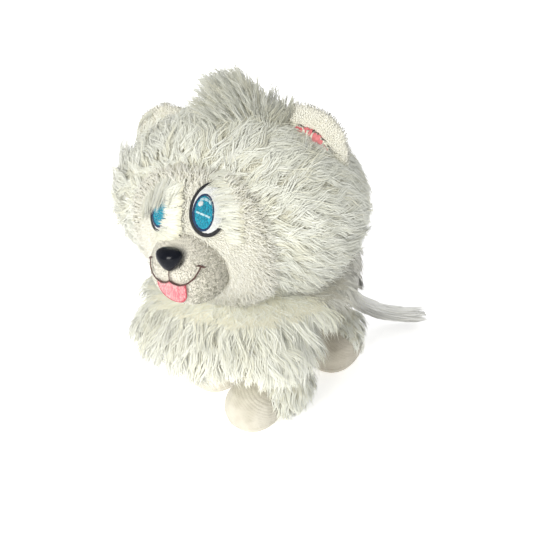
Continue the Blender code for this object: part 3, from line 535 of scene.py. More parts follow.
# --- fur ---------------------------------------------------------------------------
class Coat(NamedTuple):
    """How fur grows: the first two and spread in mm, the rest as shares or radians."""
    length: float             # of a lock
    width: float              # of a strand
    children: int             # strands in a lock
    spread: float             # of a lock's roots
    lift: float               # how much a lock rises from the skin first
    droop: float              # how much it falls at its tip
    wave: float
    clump: float              # how close the strands come at the tip
    ragged: float             # most that a strand is cut short
    uneven: float             # how far strands stray from their lock
    turned: float             # how far locks stray from the flow
    tones: tuple


#                 long  wide   in  spread lift  droop wave  clump ragged uneven turned tones
HEAD_COAT = Coat(26, 0.40, 18, 3.6, 0.60, 0.35, 0.60, 0.50, 0.35, 0.06, 0.42, HEAD_TONES)
TUFT_COAT = Coat(20, 0.40, 28, 4.2, 1.80, 0.30, 0.50, 0.35, 0.40, 0.07, 0.20, HEAD_TONES)
FRINGE_COAT = Coat(20, 0.36, 17, 2.2, 0.35, 0.10, 0.12, 0.50, 0.20, 0.03, 0.10, HEAD_TONES)
EAR_COAT = Coat(13, 0.40, 14, 3.0, 0.50, 0.50, 0.40, 0.50, 0.35, 0.06, 0.20, HEAD_TONES)
RUFF_COAT = Coat(27, 0.40, 19, 3.8, 0.70, 0.60, 0.60, 0.50, 0.35, 0.06, 0.40, FUR_TONES)
COLLAR_COAT = Coat(27, 0.40, 18, 3.8, 1.00, 2.00, 0.60, 0.45, 0.35, 0.07, 0.35, FUR_TONES)
NAPE_COAT = Coat(22, 0.42, 15, 3.6, 1.00, 2.00, 0.60, 0.55, 0.35, 0.07, 0.35, SHADED_TONES)
BODY_COAT = Coat(16, 0.44, 12, 2.8, 0.80, 0.40, 0.60, 0.60, 0.35, 0.06, 0.40, SHADED_TONES)
RUMP_COAT = Coat(15, 0.44, 12, 2.4, 0.50, 0.80, 0.50, 0.55, 0.30, 0.05, 0.30, SHADED_TONES)
CUFF_COAT = Coat(14, 0.42, 11, 2.4, 0.80, 0.80, 0.60, 0.55, 0.35, 0.06, 0.35, HEAD_TONES)
TAIL_ROOT_COAT = Coat(15, 0.44, 12, 1.8, 0.45, 1.20, 0.30, 0.40, 0.30, 0.05, 0.25, TAIL_TONES)

COLLAR_LOCKS, RUMP_LOCKS, LUG_LOCKS, TAIL_ROOT_LOCKS = 560, 330, 50, 110
COLLAR_NEAR, COLLAR_FAR = 26, 57  # mm from the neck's axis
PLUME_STRANDS, PLUME_POINTS = 2200, 9
STRAND_POINTS = 5
STRAND_FLAT = 0.7         # a strand's thickness, as a share of its width
PILE_FLAT = 0.75
SOFT = 0.7                # how far shading turns away from each strand's own shape
TONE_SHARES = (0.5, 0.35, 0.15)   # of the three strand tones
# the root tone is darker: painted shade at the foot of each strand
ROOT = 3                  # the tone of a strand's root
FRONT_LIT = (0.1, -0.35, 0.9)     # where shading turns on tufts that stand up, and the tail
MOST_TRIANGLES = 180000   # in one piece of fur


def in_pieces(name, body, tones, paths, radii, facing, slots, flat, middle, lit=None):
    """Strands as one or more pieces, cut where they go round the middle."""
    count, points = paths.shape[:2]
    order = np.argsort(np.arctan2(paths[:, 0, 0] - middle[0], paths[:, 0, 1] - middle[1]),
                       kind="stable")
    triangles = 6 * (points - 2) + 4
    pieces = max(1, math.ceil(count * triangles / MOST_TRIANGLES))
    for number, chosen in enumerate(np.array_split(order, pieces), 1):
        label = name if pieces == 1 else f"{name}_{number}"
        mesh = tubes(label, paths[chosen], radii[chosen], facing[chosen], slots[chosen], flat=flat,
                     soft=SOFT, lit=lit)
        dressed(new_object(label, mesh), body, fibres(tones))


def clear_of(paths, room):
    """Strands with no point inside a box: one that strays in goes back to its root's side."""
    low, high = room
    inside = np.all((paths > low) & (paths < high), axis=2)
    root = paths[:, 0]
    axis = np.maximum(low - root, root - high).argmax(axis=1)
    face = np.where(root[np.arange(len(root)), axis] > ((low + high) / 2)[axis], high[axis],
                    low[axis])
    strand, point = np.nonzero(inside)
    moved = paths.copy()
    moved[strand, point, axis[strand]] = face[strand]
    return moved


def grow(name, roots, normals, flow, coat, body, seed, scale=None, lift=None, droop=None,
         floor=None, room=None, shine=None):
    """Locks of strands from the roots: each lock bends from the normal to the flow.

    scale, lift and droop can differ for each lock. Strands stay above floor and out of
    room, and shine is where soft shading turns to.
    """
    rng = np.random.default_rng(seed)
    count = len(roots)
    scale = np.ones(count) if scale is None else scale
    lift = np.full(count, coat.lift) if lift is None else lift
    droop = np.full(count, coat.droop) if droop is None else droop
    side = unit(np.cross(normals, flow))
    length = coat.length * MM * scale * rng.uniform(0.85, 1.12, count)
    flow = unit(flow + side * rng.normal(0, coat.turned, count)[:, None])
    phase = rng.uniform(0, 2 * np.pi, count)
    step = (length / (STRAND_POINTS - 1))[:, None]
    guide = [roots]
    for k in range(1, STRAND_POINTS):
        s = k / (STRAND_POINTS - 1)
        sway = coat.wave * np.sin(phase + 5.0 * s)
        heading = unit(normals * (lift * (1 - s) ** 1.3)[:, None] + flow
                       + side * sway[:, None] + DOWN * (droop * s)[:, None])
        guide.append(guide[-1] + heading * step)
    guide = np.stack(guide, axis=1)

    share = np.linspace(0, 1, STRAND_POINTS)
    strands = count * coat.children
    owner = np.repeat(np.arange(count), coat.children)
    angle = rng.uniform(0, 2 * np.pi, strands)
    reach = coat.spread * MM * np.sqrt(rng.random(strands))
    offset = (side[owner] * np.cos(angle)[:, None] + flow[owner] * np.sin(angle)[:, None])
    offset = offset * reach[:, None]
    pull = 1 - coat.clump * share ** 0.9
    paths = guide[owner] + offset[:, None] * pull[None, :, None]
    stray = rng.normal(0, 1, (strands, 3)) * coat.uneven * length[owner][:, None]
    paths = paths + stray[:, None] * (share ** 1.6)[None, :, None]
    cut = 1 - coat.ragged * rng.random(strands)
    paths = paths[:, :1] + (paths - paths[:, :1]) * cut[:, None, None]
    if floor is not None:
        paths[..., 2] = np.maximum(paths[..., 2], floor)
    if room is not None:
        paths = clear_of(paths, room)
    profile = 0.55 + 0.6 * np.sin(np.pi * (0.12 + 0.78 * share))
    width = coat.width * MM * rng.uniform(0.7, 1.3, strands) / 2
    radii = width[:, None] * profile[None, :]
    tone = rng.choice(3, count, p=TONE_SHARES)[owner]
    tone = np.where(rng.random(strands) < 0.3, rng.choice(3, strands), tone)
    slots = np.repeat(tone[:, None], STRAND_POINTS - 1, axis=1)
    # root segments take the darker root tone: painted shade at the skin
    slots[:, 0] = ROOT
    if shine is None:
        facing = normals[owner]
    else:
        behind = roots[owner, 1:2] > roots[:, 1].mean()
        facing = unit(np.where(behind, np.array(shine) * (1, -1, 1), shine))
    in_pieces(name, body, coat.tones, paths, radii, facing, slots, STRAND_FLAT,
              roots.mean(axis=0), shine)


def pile(name, roots, normals, flow, length, width, body, tones, seed, weights=None,
         curl=0.0):
    """Short pile: one strand at each root; curl bends it over into a terry loop."""
    rng = np.random.default_rng(seed)
    count = len(roots)
    side = unit(np.cross(normals, flow))
    turn = rng.normal(0, 0.5 + 3.0 * curl, count)
    lean = flow * np.cos(turn)[:, None] + side * np.sin(turn)[:, None]
    reach = (length * rng.uniform(0.75, 1.2, count))[:, None]
    if curl:
        across = np.cross(normals, lean)
        shares = np.linspace(0, 1, 6)[None, :, None]
        arc = np.pi * 1.25 * shares
        paths = (roots[:, None] + normals[:, None] * reach[:, None] * 0.75 * np.sin(arc * 0.72)
                 + lean[:, None] * reach[:, None] * 0.5 * (1 - np.cos(arc))
                 + across[:, None] * reach[:, None] * curl * np.sin(arc * 1.6))
    else:
        paths = np.stack((roots, roots + normals * reach * 0.55 + lean * reach * 0.35,
                          roots + normals * reach * 0.75 + lean * reach * 0.95), axis=1)
    points = paths.shape[1]
    radii = np.repeat((width * rng.uniform(0.7, 1.25, count) / 2)[:, None], points, axis=1)
    if weights is None:
        tone = rng.choice(3, count, p=(0.45, 0.4, 0.15))
    else:
        tone = (rng.random(count)[:, None] > np.cumsum(weights, axis=1)).sum(axis=1).clip(0, 3)
    slots = np.repeat(tone[:, None], points - 1, axis=1)
    if not curl:
        # half of the pile's root segments take the darker root tone: painted shade at the skin
        slots[:, 0] = np.where(rng.random(count) < 0.5, ROOT, tone)
    in_pieces(name, body, tones, paths, radii, normals, slots, PILE_FLAT,
              roots.mean(axis=0))


# --- head ----------------------------------------------------------------------------
TURN = np.array(((math.cos(HEAD_YAW), -math.sin(HEAD_YAW), 0),
                 (math.sin(HEAD_YAW), math.cos(HEAD_YAW), 0), (0, 0, 1)))


def to_head(places):
    """Places in the head's own frame, which faces -Y."""
    return (places - HEAD_CENTRE) @ TURN


def from_head(places):
    return places @ TURN.T + HEAD_CENTRE


def shell_normal(places, solid):
    """Outward direction of an ellipsoid through each point."""
    return unit((places - solid[0]) / solid[1] ** 2)


def shell_level(places, solid):
    """1 on the ellipsoid, less inside it."""
    return np.linalg.norm((places - solid[0]) / solid[1], axis=-1)


def agree(facing, outward, least):
    """Where two sets of directions agree by at least so much."""
    return np.sum(facing * outward, axis=1) > least


def outer_share(normals, outward):
    """How much each point of a skin is on its outer side, from 0 to 1."""
    return np.clip(np.sum(normals * outward, axis=1) * 1.6 - 0.2, 0, 1)


def sunk(obj, solid, depth, room=None):
    """Draw the outer side of a skin inward, so that the fur on it ends at the CAD surface.

    The skin stays beside and above room, given as its low and high corners.
    """
    places, normals = points_of(obj)
    facing = outer_share(normals, shell_normal(places, solid))
    moved = places - normals * (facing * depth)[:, None]
    if room is not None:
        low, high = room
        slack = 1.5 * MM
        along = (places[:, 1] > low[1] - slack) & (places[:, 1] < high[1] + slack)
        above = along & (places[:, 2] > high[2] - slack) & (np.abs(moved[:, 0]) < high[0] + slack)
        beside = along & ~above & (np.abs(places[:, 0]) > high[0] - slack)
        moved[above, 2] = np.maximum(moved[above, 2], high[2])
        across = np.maximum(np.abs(moved[beside, 0]), high[0])
        moved[beside, 0] = np.copysign(across, places[beside, 0])
    move_points(obj, moved)


PELT = ("pelt_backing", (0.86, 0.85, 0.73), (0.76, 0.745, 0.61))
FACE_CLOTH = ("face_backing", (0.86, 0.845, 0.75), (0.78, 0.76, 0.65))


def make_head_fur():
    """Long hair that flows away from the parting, with two tufts that stand on the crown."""
    skin = relaxed_copy("head_fur", "head_pelt", 2.6 * MM)
    places, normals = points_of(skin)
    local = to_head(places)
    outward = shell_normal(local, HEAD)
    facing = outer_share(normals @ TURN, outward)
    level = np.clip((shell_level(local, HEAD) - OUTER_SIDE) * 8, 0, 1)
    move_points(skin, places - (outward @ TURN.T) * (facing * level * PELT_DEPTH)[:, None])
    dressed(skin, "head", [backing(*PELT)], ["head_fur"])

    def keep(found, facing):
        local = to_head(found)
        return (agree(facing @ TURN, shell_normal(local, HEAD), 0.25)
                & (shell_level(local, HEAD) > OUTER_SIDE) & (local[:, 2] > HAIR_LOW))

    roots, _ = scatter(skin, 3.05 * MM, 11, keep)
    local = to_head(roots)
    outward = shell_normal(local, HEAD)
    flow = flattened(local - PARTING, outward)
    behind = np.clip((local[:, 1] + 20 * MM) / (60 * MM), 0, 1)[:, None]
    flow = flattened(flow * (1 - 0.6 * behind) + DOWN * 0.6 * behind + DOWN * 0.12, outward)
    edge = shell_level(local, FACE_EDGE)
    scale = np.clip((edge - 0.85) / 0.5, 0.35, 1.0)
    bulge = (smoothstep(-local[:, 0], 38 * MM, 60 * MM)
             * (1 - smoothstep(local[:, 2], 8 * MM, 34 * MM)))
    cheek = smoothstep(local[:, 0], 42 * MM, 68 * MM)
    by_ear = np.exp(-np.sum((local - LEFT_EAR_FRONT[0]) ** 2, axis=1) / LEFT_EAR_FRONT[1] ** 2)
    scale = scale * (1 + 0.29 * bulge) * (1 - 0.28 * cheek) * (1 - 0.6 * by_ear)
    lift = HEAD_COAT.lift * (1 + 0.5 * bulge)
    tuft, crest = ((local[:, 2] > CROWN)
                   & (np.linalg.norm(local[:, :2] - middle, axis=1) < radius)
                   for middle, radius, _ in (TUFT, CREST))
    rest = ~(tuft | crest)
    grow("head_hair", roots[rest], outward[rest] @ TURN.T, flow[rest] @ TURN.T, HEAD_COAT,
         "head", 21, scale[rest], lift[rest], floor=HAIR_FLOOR)
    for name, chosen, away, size, seed in (
            ("head_tuft", tuft, unit(local - TUFT[2]) - (0.45, 0, 0), 1.0, 22),
            ("head_crest", crest, unit(local - CREST[2]), 0.95, 27)):
        grow(name, roots[chosen], outward[chosen] @ TURN.T, away[chosen] @ TURN.T, TUFT_COAT,
             "head", seed, np.full(chosen.sum(), size), shine=FRONT_LIT)


def lock_set(name, starts, ends, count, lifts, seed):
    """Locks laid over the face, from one line of (across, up) places to another, in mm."""
    rng = np.random.default_rng(seed)
    first = curve_through(mm(*starts), count) + rng.normal(0, 0.8, (count, 2)) * MM
    last = curve_through(mm(*ends), count) + rng.normal(0, 0.8, (count, 2)) * MM
    first, outward = on_front(FACE, first, lifts[0] * MM)
    last, _ = on_front(FACE, last, lifts[1] * MM)
    flow = unit(last - first)
    scale = np.linalg.norm(last - first, axis=1) / (FRINGE_COAT.length * MM)
    grow(name, from_head(first), outward @ TURN.T, flow @ TURN.T, FRINGE_COAT, "head", seed,
         scale)


def make_fringe():
    """Hair that leaves a leaf of the right eye free, and crosses the left eye's outer side."""
    lock_set("fringe_right", ((-31, 12), (-28, 24), (-21, 31), (-12, 33), (-5, 30)),
             ((-26, 5), (-22.5, 8), (-18.5, 10.5), (-14, 13), (-10, 16)), 34, (1.2, 3.0), 31)
    lock_set("fringe_bridge", ((-3, -4), (-1.5, 3), (-1, 11), (-2, 19), (-4, 26)),
             ((-16, 1), (-14, 6), (-11.5, 11), (-12, 17), (-13, 22)), 40, (2.0, 2.9), 33)
    lock_set("fringe_left", ((31, 0), (31, 11), (28, 22), (19, 32)),
             ((24, 6), (19.5, 13), (15.5, 18.5), (13, 25), (8, 30)), 30, (1.2, 3.0), 32)


# --- face ----------------------------------------------------------------------------
def on_front(solid, across_up, lift):
    """Places on an ellipsoid's front at (across, up), lifted off it, and its normals."""
    centre, radii = solid
    x, z = across_up[..., 0], across_up[..., 1]
    inside = 1 - ((x - centre[0]) / radii[0]) ** 2 - ((z - centre[2]) / radii[2]) ** 2
    places = np.stack((x, centre[1] - radii[1] * np.sqrt(np.maximum(inside, 0.02)), z), axis=-1)
    outward = shell_normal(places, solid)
    return places + outward * np.asarray(lift)[..., None], outward


def in_oval(points, middle, half, lean):
    """How far out points lie in a leaning oval: 1 on its edge."""
    turn = math.radians(lean)
    rel = points - middle
    across = rel[..., 0] * math.cos(turn) + rel[..., 1] * math.sin(turn)
    up = -rel[..., 0] * math.sin(turn) + rel[..., 1] * math.cos(turn)
    return np.hypot(across / half[0], up / half[1])


def oval_points(middle, half, lean, angles):
    turn = math.radians(lean)
    across, up = half[0] * np.cos(angles), half[1] * np.sin(angles)
    return middle + np.stack((across * math.cos(turn) - up * math.sin(turn),
                              across * math.sin(turn) + up * math.cos(turn)), axis=-1)


def stitches(name, solid, rows, lift, width, materials, seed):
    """Satin stitches, each a flat thread that dips at its ends.

    rows is where they start and where they end, as (across, up); lift and width are in mm.
    """
    starts, ends = rows
    rng = np.random.default_rng(seed)
    shares = np.array((0, 0.15, 0.5, 0.85, 1))
    flat_paths = starts[:, None] + (ends - starts)[:, None] * shares[None, :, None]
    rise = mm(-0.35, 0, 0.08, 0, -0.35) + lift * MM
    rise = rise[None] + rng.uniform(-0.05, 0.05, (len(starts), 1)) * MM
    places, outward = on_front(solid, flat_paths, rise)
    paths = from_head(places)
    radii = np.full(paths.shape[:2], width / 2 * MM) * rng.uniform(0.85, 1.1, (len(starts), 1))
    colour = rng.integers(0, len(materials), len(starts))
    slots = np.repeat(colour[:, None], len(shares) - 1, axis=1)
    mesh = tubes(name, paths, radii, outward[:, 2] @ TURN.T, slots, sides=6, flat=0.55,
                 pointed=False)
    dressed(new_object(name, mesh), "head", materials)


def filled(shape, box, angle, spacing, longest):
    """Rows of stitches that fill a shape: spacing and longest are in mm.

    shape says which (across, up) points are inside, and box holds them all.
    """
    (low_x, low_z), (high_x, high_z) = box
    reach = math.hypot(high_x - low_x, high_z - low_z) / 2
    middle = np.array(((low_x + high_x) / 2, (low_z + high_z) / 2))
    along = np.array((math.cos(math.radians(angle)), math.sin(math.radians(angle))))
    across = np.array((-along[1], along[0]))
    step, spacing, longest = 0.12 * MM, spacing * MM, longest * MM
    travel = np.arange(-reach, reach, step)
    starts, ends = [], []
    for number, shift in enumerate(np.arange(-reach, reach, spacing)):
        line = middle + across * shift + travel[:, None] * along
        inside = shape(line)
        edges = np.flatnonzero(np.diff(np.concatenate(([0], inside.astype(int), [0]))))
        for first, last in zip(edges[::2], edges[1::2] - 1):
            cuts = [first]
            offset = int(longest / step * (0.45 + 0.55 * (number % 3) / 2))
            while cuts[-1] + offset < last - 3:
                cuts.append(cuts[-1] + offset)
                offset = int(longest / step)
            cuts.append(last)
            for one, other in zip(cuts, cuts[1:]):
                if other > one + 1:
                    starts.append(line[one])
                    ends.append(line[other])
    return np.array(starts), np.array(ends)


def across_path(points, half_width, slant=0.5):
    """Stitches across a path, leaning a little along it."""
    along = unit(np.gradient(points, axis=0))
    side = np.stack((-along[:, 1], along[:, 0]), axis=1) + along * slant
    half = np.asarray(half_width)[..., None] if np.ndim(half_width) else half_width
    return points - side * half, points + side * half


def pad(name, solid, edge, low, high, materials, replaced, rings=8):
    """Thin closed patch inside an edge of (across, up) points, lying on an ellipsoid."""
    middle = edge.mean(axis=0)
    sides = len(edge)
    verts, faces = [], []
    for lift in (low, high):
        for ring in range(rings + 1):
            share = ring / rings
            height = lift if ring < rings else (low + high) / 2
            places, _ = on_front(solid, middle + (edge - middle) * share, np.full(sides, height))
            verts.append(places if ring else places[:1])
    starts = np.cumsum([0] + [len(v) for v in verts])
    for layer in (0, rings + 1):
        for i in range(sides):
            j = (i + 1) % sides
            tri = (starts[layer], starts[layer + 1] + i, starts[layer + 1] + j)
            faces.append(tri if layer == 0 else tri[::-1])
            for ring in range(1, rings):
                a, b = starts[layer + ring], starts[layer + ring + 1]
                quad = (a + i, b + i, b + j, a + j)
                faces.append(quad if layer == 0 else quad[::-1])
    back, front = starts[rings], starts[2 * rings + 1]
    for i in range(sides):
        j = (i + 1) % sides
        faces.append((back + i, front + i, front + j, back + j))
    mesh = bpy.data.meshes.new(name)
    mesh.from_pydata(from_head(np.concatenate(verts)).tolist(), [], faces)
    mesh.shade_smooth()
    dressed(new_object(name, mesh), "head", materials, replaced)


WHITE = [thread("thread_white", (0.90, 0.91, 0.90), (0.80, 0.82, 0.82))]
BLACK = [thread("thread_black", (0.018, 0.018, 0.022), (0.006, 0.006, 0.008))]
TEAL = [thread("thread_teal", (0.01, 0.36, 0.50), (0.005, 0.22, 0.34)),
        thread("thread_blue", (0.02, 0.45, 0.62), (0.01, 0.30, 0.45))]
NAVY = [thread("thread_navy", (0.01, 0.05, 0.14), (0.005, 0.02, 0.07))]
PALE = [thread("thread_pale", (0.62, 0.80, 0.84), (0.40, 0.66, 0.74))]
PINK = [thread("thread_pink", (0.86, 0.31, 0.35), (0.76, 0.19, 0.24)),
        thread("thread_rose", (0.88, 0.45, 0.47), (0.80, 0.30, 0.33)),
        thread("thread_blush", (0.90, 0.58, 0.58), (0.82, 0.42, 0.44))]
RED = [thread("thread_red", (0.66, 0.10, 0.13), (0.50, 0.05, 0.08))]
BROWN = [thread("thread_brown", (0.13, 0.055, 0.04), (0.06, 0.02, 0.018))]


def make_eye(side):
    """Embroidered eye: white ground, black ring, navy-edged teal iris, pale highlights."""
    name = "left" if side > 0 else "right"
    middle, lean = EYES[side], side * EYE_LEAN
    iris = middle + GAZE * (1, 1 if side > 0 else 0.6)
    iris_lean = side * (EYE_LEAN - 3)
    glint = iris + mm(-2.2, 4.2)
    box = (middle - EYE_HALF * 1.3, middle + EYE_HALF * 1.3)

    def sew(part, rows, lift, width, threads, seed):
        stitches(f"eye_{name}_{part}", FACE, rows, lift, width, threads, seed)

    def white(p):
        return ((in_oval(p, middle, EYE_HALF - 1.2 * MM, lean) < 1)
                & (in_oval(p, iris, IRIS_HALF, iris_lean) > 0.96))

    def teal(p):
        return in_oval(p, iris, IRIS_HALF - 0.7 * MM, iris_lean) < 1

    def bright(p):
        return in_oval(p, glint, mm(1.5, 1.1), 10) < 1

    def border(oval, leaning, count, weight, swell, heaviest):
        """Stitches round an oval; the border is heaviest at one angle, in half turns."""
        around = np.linspace(0, 2 * np.pi, count, endpoint=False)
        weight = weight + swell * np.cos(around - math.pi * heaviest)
        return across_path(oval_points(*oval, leaning, around), weight * MM)

    outline = oval_points(middle, EYE_HALF - 0.6 * MM, lean,
                          np.linspace(0, 2 * np.pi, 72, endpoint=False))
    pad(f"eye_{name}_ground", FACE, outline, 0.2 * MM, 1.35 * MM, WHITE,
        [f"{name}_eye"])
    sew("white", filled(white, box, 8 * side, 0.42, 4), 1.45, 0.48, WHITE, 3)
    sew("iris", filled(teal, box, 78 + 6 * side, 0.40, 3.2), 1.62, 0.46, TEAL, 4)
    sew("edge", border((iris, IRIS_HALF - 0.3 * MM), iris_lean, 150, 0.5, 0.3, 1.12),
        1.75, 0.46, NAVY, 5)
    sew("ring", border((middle, EYE_HALF - 0.8 * MM), lean, 210, 0.82, 0.22,
                       1.25 if side > 0 else 1.75), 1.75, 0.46, BLACK, 6)
    sew("glint", filled(bright, (glint - 3 * MM, glint + 3 * MM), 5, 0.36, 4), 1.95, 0.44,
        WHITE, 7)
    upper = iris + mm((-3.0, 5.8), (-0.8, 6.3), (1.6, 5.6), (3.2, 4.2))
    streak = iris + mm((-3.9, 0.6), (-1.6, -0.1), (1.2, -0.9), (4.0, -1.9))
    lines = [(upper, 0.4)] + ([(streak, 0.31)] if side > 0 else [])
    paths = np.concatenate([np.stack((line[:-1], line[1:]), 1) + mm(0, gap * row)
                            for line, gap in lines for row in (-1, 0, 1)])
    sew("streak", (paths[:, 0], paths[:, 1]), 1.92, 0.42, PALE, 8)


SMILE = mm((0, -15.9), (2.0, -17.2), (5.4, -18.0), (9.2, -17.0), (12.6, -14.3), (14.4, -11.0),
           (15.0, -9.2))
TONGUE_DEPTH = 12.6 * MM


def travelled(points):
    """How far along a line each of its points is."""
    return np.concatenate(([0], np.cumsum(np.linalg.norm(np.diff(points, axis=0), axis=1))))


def resampled(points, travel, count):
    even = np.linspace(0, travel[-1], count)
    return np.stack([np.interp(even, travel, column) for column in points.T], axis=1)


def curve_through(points, count):
    """Evenly spread points on a smooth curve through the given ones."""
    line = resampled(points, travelled(points), 400)
    kernel = np.hanning(61) / np.hanning(61).sum()
    padded = np.concatenate((2 * line[:1] - line[30:0:-1], line, 2 * line[-1:] - line[-2:-32:-1]))
    line = np.stack([np.convolve(column, kernel, "valid") for column in padded.T], axis=1)
    return resampled(line, travelled(line), count)


def make_mouth():
    """Stem-stitched philtrum and smile with a tick at its end, and the embroidered tongue."""
    right = curve_through(SMILE, 46)
    left = right * (-1, 1)
    down = curve_through(mm((0, -9.0), (0, -13), (0.2, -16.1)), 14)
    tick = curve_through(mm((13.6, -8.3), (15.0, -8.7), (16.3, -9.6)), 7)
    lines = (right, left, down, tick, tick * (-1, 1))
    rows = [across_path(line, 0.28 * MM, 1.5) for line in lines]
    starts, ends = (np.concatenate(side) for side in zip(*rows))
    stitches("mouth_thread", MUZZLE, (starts, ends), 1.75, 0.5, BROWN, 9)

    lip = np.concatenate((left[20:0:-1], right[:21])) - mm(0, 0.5)
    turns = np.linspace(0, np.pi, 34)[1:-1]
    half = (lip[-1, 0] - lip[0, 0]) / 2
    centre = (lip[0] + lip[-1]) / 2
    below = centre + np.stack((half * np.cos(turns), -TONGUE_DEPTH * np.sin(turns) ** 0.8), axis=1)
    pad("tongue_ground", MUZZLE, np.concatenate((lip, below)), 0.1 * MM, 1.2 * MM,
        PINK[:1], ["tongue"])

    def tongue(p):
        top = np.interp(p[:, 0], lip[:, 0], lip[:, 1])
        share = np.clip(np.abs(p[:, 0] - centre[0]) / half, 0, 1)
        bottom = centre[1] - TONGUE_DEPTH * (1 - share ** 2) ** 0.42
        return (share < 0.97) & (p[:, 1] < top - 0.2 * MM) & (p[:, 1] > bottom + 0.4 * MM)

    fill = filled(tongue, (centre - mm(11, 13), centre + mm(11, 5)), 62, 0.42, 2.4)
    stitches("tongue_threads", MUZZLE, fill, 1.35, 0.48, PINK, 10)
    rim = curve_through(np.concatenate((lip[-1:], below, lip[:1])), 84)
    stitches("tongue_rim", MUZZLE, across_path(rim, 0.34 * MM, 0.8), 1.5, 0.44,
             RED, 11)


def make_nose():
    """Glossy moulded nose: wide and flat on top, narrowing to the lip."""
    rings, sides = 36, 56
    rows = np.linspace(0, np.pi, rings + 1)[:, None]
    turns = np.linspace(0, 2 * np.pi, sides, endpoint=False)[None, :]
    up = np.cos(rows) * np.ones_like(turns)
    out = np.sin(rows) ** 0.85
    across, ahead = out * np.cos(turns), -out * np.sin(turns)
    narrow = 0.36 + 0.68 * ((up + 1) / 2) ** 0.62
    top = np.where(up > 0, 0.82 + 0.04 * np.abs(across), 1.08)
    centre, radii = NOSE
    local = np.stack((across * narrow, ahead * (0.8 + 0.2 * narrow), up * top), axis=-1)
    local = local * radii + centre
    verts = np.concatenate((local[:1, 0], local[1:-1].reshape(-1, 3), local[-1:, 0]))
    faces, last = [], len(verts) - 1
    for i in range(sides):
        j = (i + 1) % sides
        faces.append((0, 1 + i, 1 + j))
        for r in range(rings - 2):
            a, b = 1 + r * sides, 1 + (r + 1) * sides
            faces.append((a + i, b + i, b + j, a + j))
        faces.append((last, last - sides + j, last - sides + i))
    mesh = bpy.data.meshes.new("nose_button")
    mesh.from_pydata(from_head(verts).tolist(), [], faces)
    mesh.shade_smooth()
    gloss = Surface("nose_gloss", (0.006, 0.007, 0.012), 0.12, Specular_IOR_Level=0.16)
    gloss.colour(gloss.noise(200), (0.004, 0.005, 0.009), (0.010, 0.011, 0.017))
    gloss.roughness(gloss.noise(500, 4), 0.12, 0.26)
    gloss.bump(gloss.noise(350, 2), 0.05 * MM, 0.35)
    dressed(new_object("nose_button", mesh), "head", [gloss.made], ["nose"])


def make_face():
    """Short pile that lengthens towards the head's hair, clear of the eyes and the muzzle."""
    skin = relaxed_copy("face_panel", "face_cloth", 1.3 * MM, 4)
    dressed(skin, "head", [backing(*FACE_CLOTH)], ["face_panel"])

    def keep(found, facing):
        local = to_head(found)
        flat = local[:, (0, 2)]
        seen = agree(facing @ TURN, shell_normal(local, FACE), 0.4)
        clear = (shell_level(local, MUZZLE) > 1.03) & (local[:, 2] > -47 * MM)
        for side in (-1, 1):
            clear &= in_oval(flat, EYES[side], EYE_HALF + 0.3 * MM, side * EYE_LEAN) > 1
        return seen & clear

    roots, normals = scatter(skin, 0.80 * MM, 12, keep)
    local = to_head(roots)
    outward = normals @ TURN
    flow = flattened((local - mm(0, -70, 4)) + DOWN * 6 * MM, outward)
    away = shell_level(local, FACE_EDGE)
    length = 2.2 * MM + 5.0 * MM * smoothstep(away, 0.82, 1.0)
    pile("face_pile", roots, normals, flow @ TURN.T, length, 0.45 * MM, "head",
         PILE_TONES, 41)


def make_muzzle():
    """Terry loops, clear of the nose, mouth and tongue, with painted light on top and painted shade
    on the puppy's left side.
    """
    skin = relaxed_copy("muzzle", "muzzle_cloth", 1.0 * MM, 4)
    dressed(skin, "head",
            [backing("muzzle_backing", (0.80, 0.77, 0.67), (0.66, 0.63, 0.53))], ["muzzle"])
    smile = curve_through(SMILE, 40)
    smile = np.concatenate((smile, smile * (-1, 1), curve_through(mm((0, -9), (0, -18)), 20)))

    def keep(found, facing):
        local = to_head(found)
        seen = agree(facing @ TURN, shell_normal(local, MUZZLE), 0.3) & (local[:, 1] < -60 * MM)
        flat = local[:, (0, 2)]
        to_line = np.min(np.linalg.norm(flat[:, None] - smile[None], axis=2), axis=1)
        nose = in_oval(flat, NOSE[0][[0, 2]], NOSE[1][[0, 2]], 0)
        tongue = in_oval(flat, mm(0, -23), mm(9.0, 8.8), 0)
        on_front_side = local[:, 1] < -66 * MM
        return seen & ~(on_front_side & ((to_line < 0.75 * MM) | (nose < 1) | (tongue < 1)))

    roots, normals = scatter(skin, 0.75 * MM, 13, keep)
    local = to_head(roots)
    outward = normals @ TURN
    flow = flattened(local - mm(0, -80, -8), outward)
    near_mouth = 1 - smoothstep(np.hypot(local[:, 0], local[:, 2] + 14 * MM), 9 * MM, 19 * MM)
    # painted shade: the puppy's left side of the muzzle takes the grey and olive tones
    painted_side_shade = smoothstep(local[:, 0] + 0.4 * np.abs(local[:, 2] + 10 * MM), 9 * MM, 20 * MM)
    # painted light: the upper muzzle takes the light tone
    high = smoothstep(local[:, 2], -14 * MM, 0)
    light = 0.42 + 0.40 * np.maximum(near_mouth, high) - 0.40 * painted_side_shade
    weights = np.stack((light, 0.42 - 0.16 * near_mouth - 0.10 * painted_side_shade,
                        0.15 - 0.14 * near_mouth + 0.34 * painted_side_shade), axis=1)
    pile("muzzle_curls", roots, normals, flow @ TURN.T, 1.2 * MM, 0.42 * MM, "head",
         MUZZLE_TONES, 42, weights, curl=0.45)


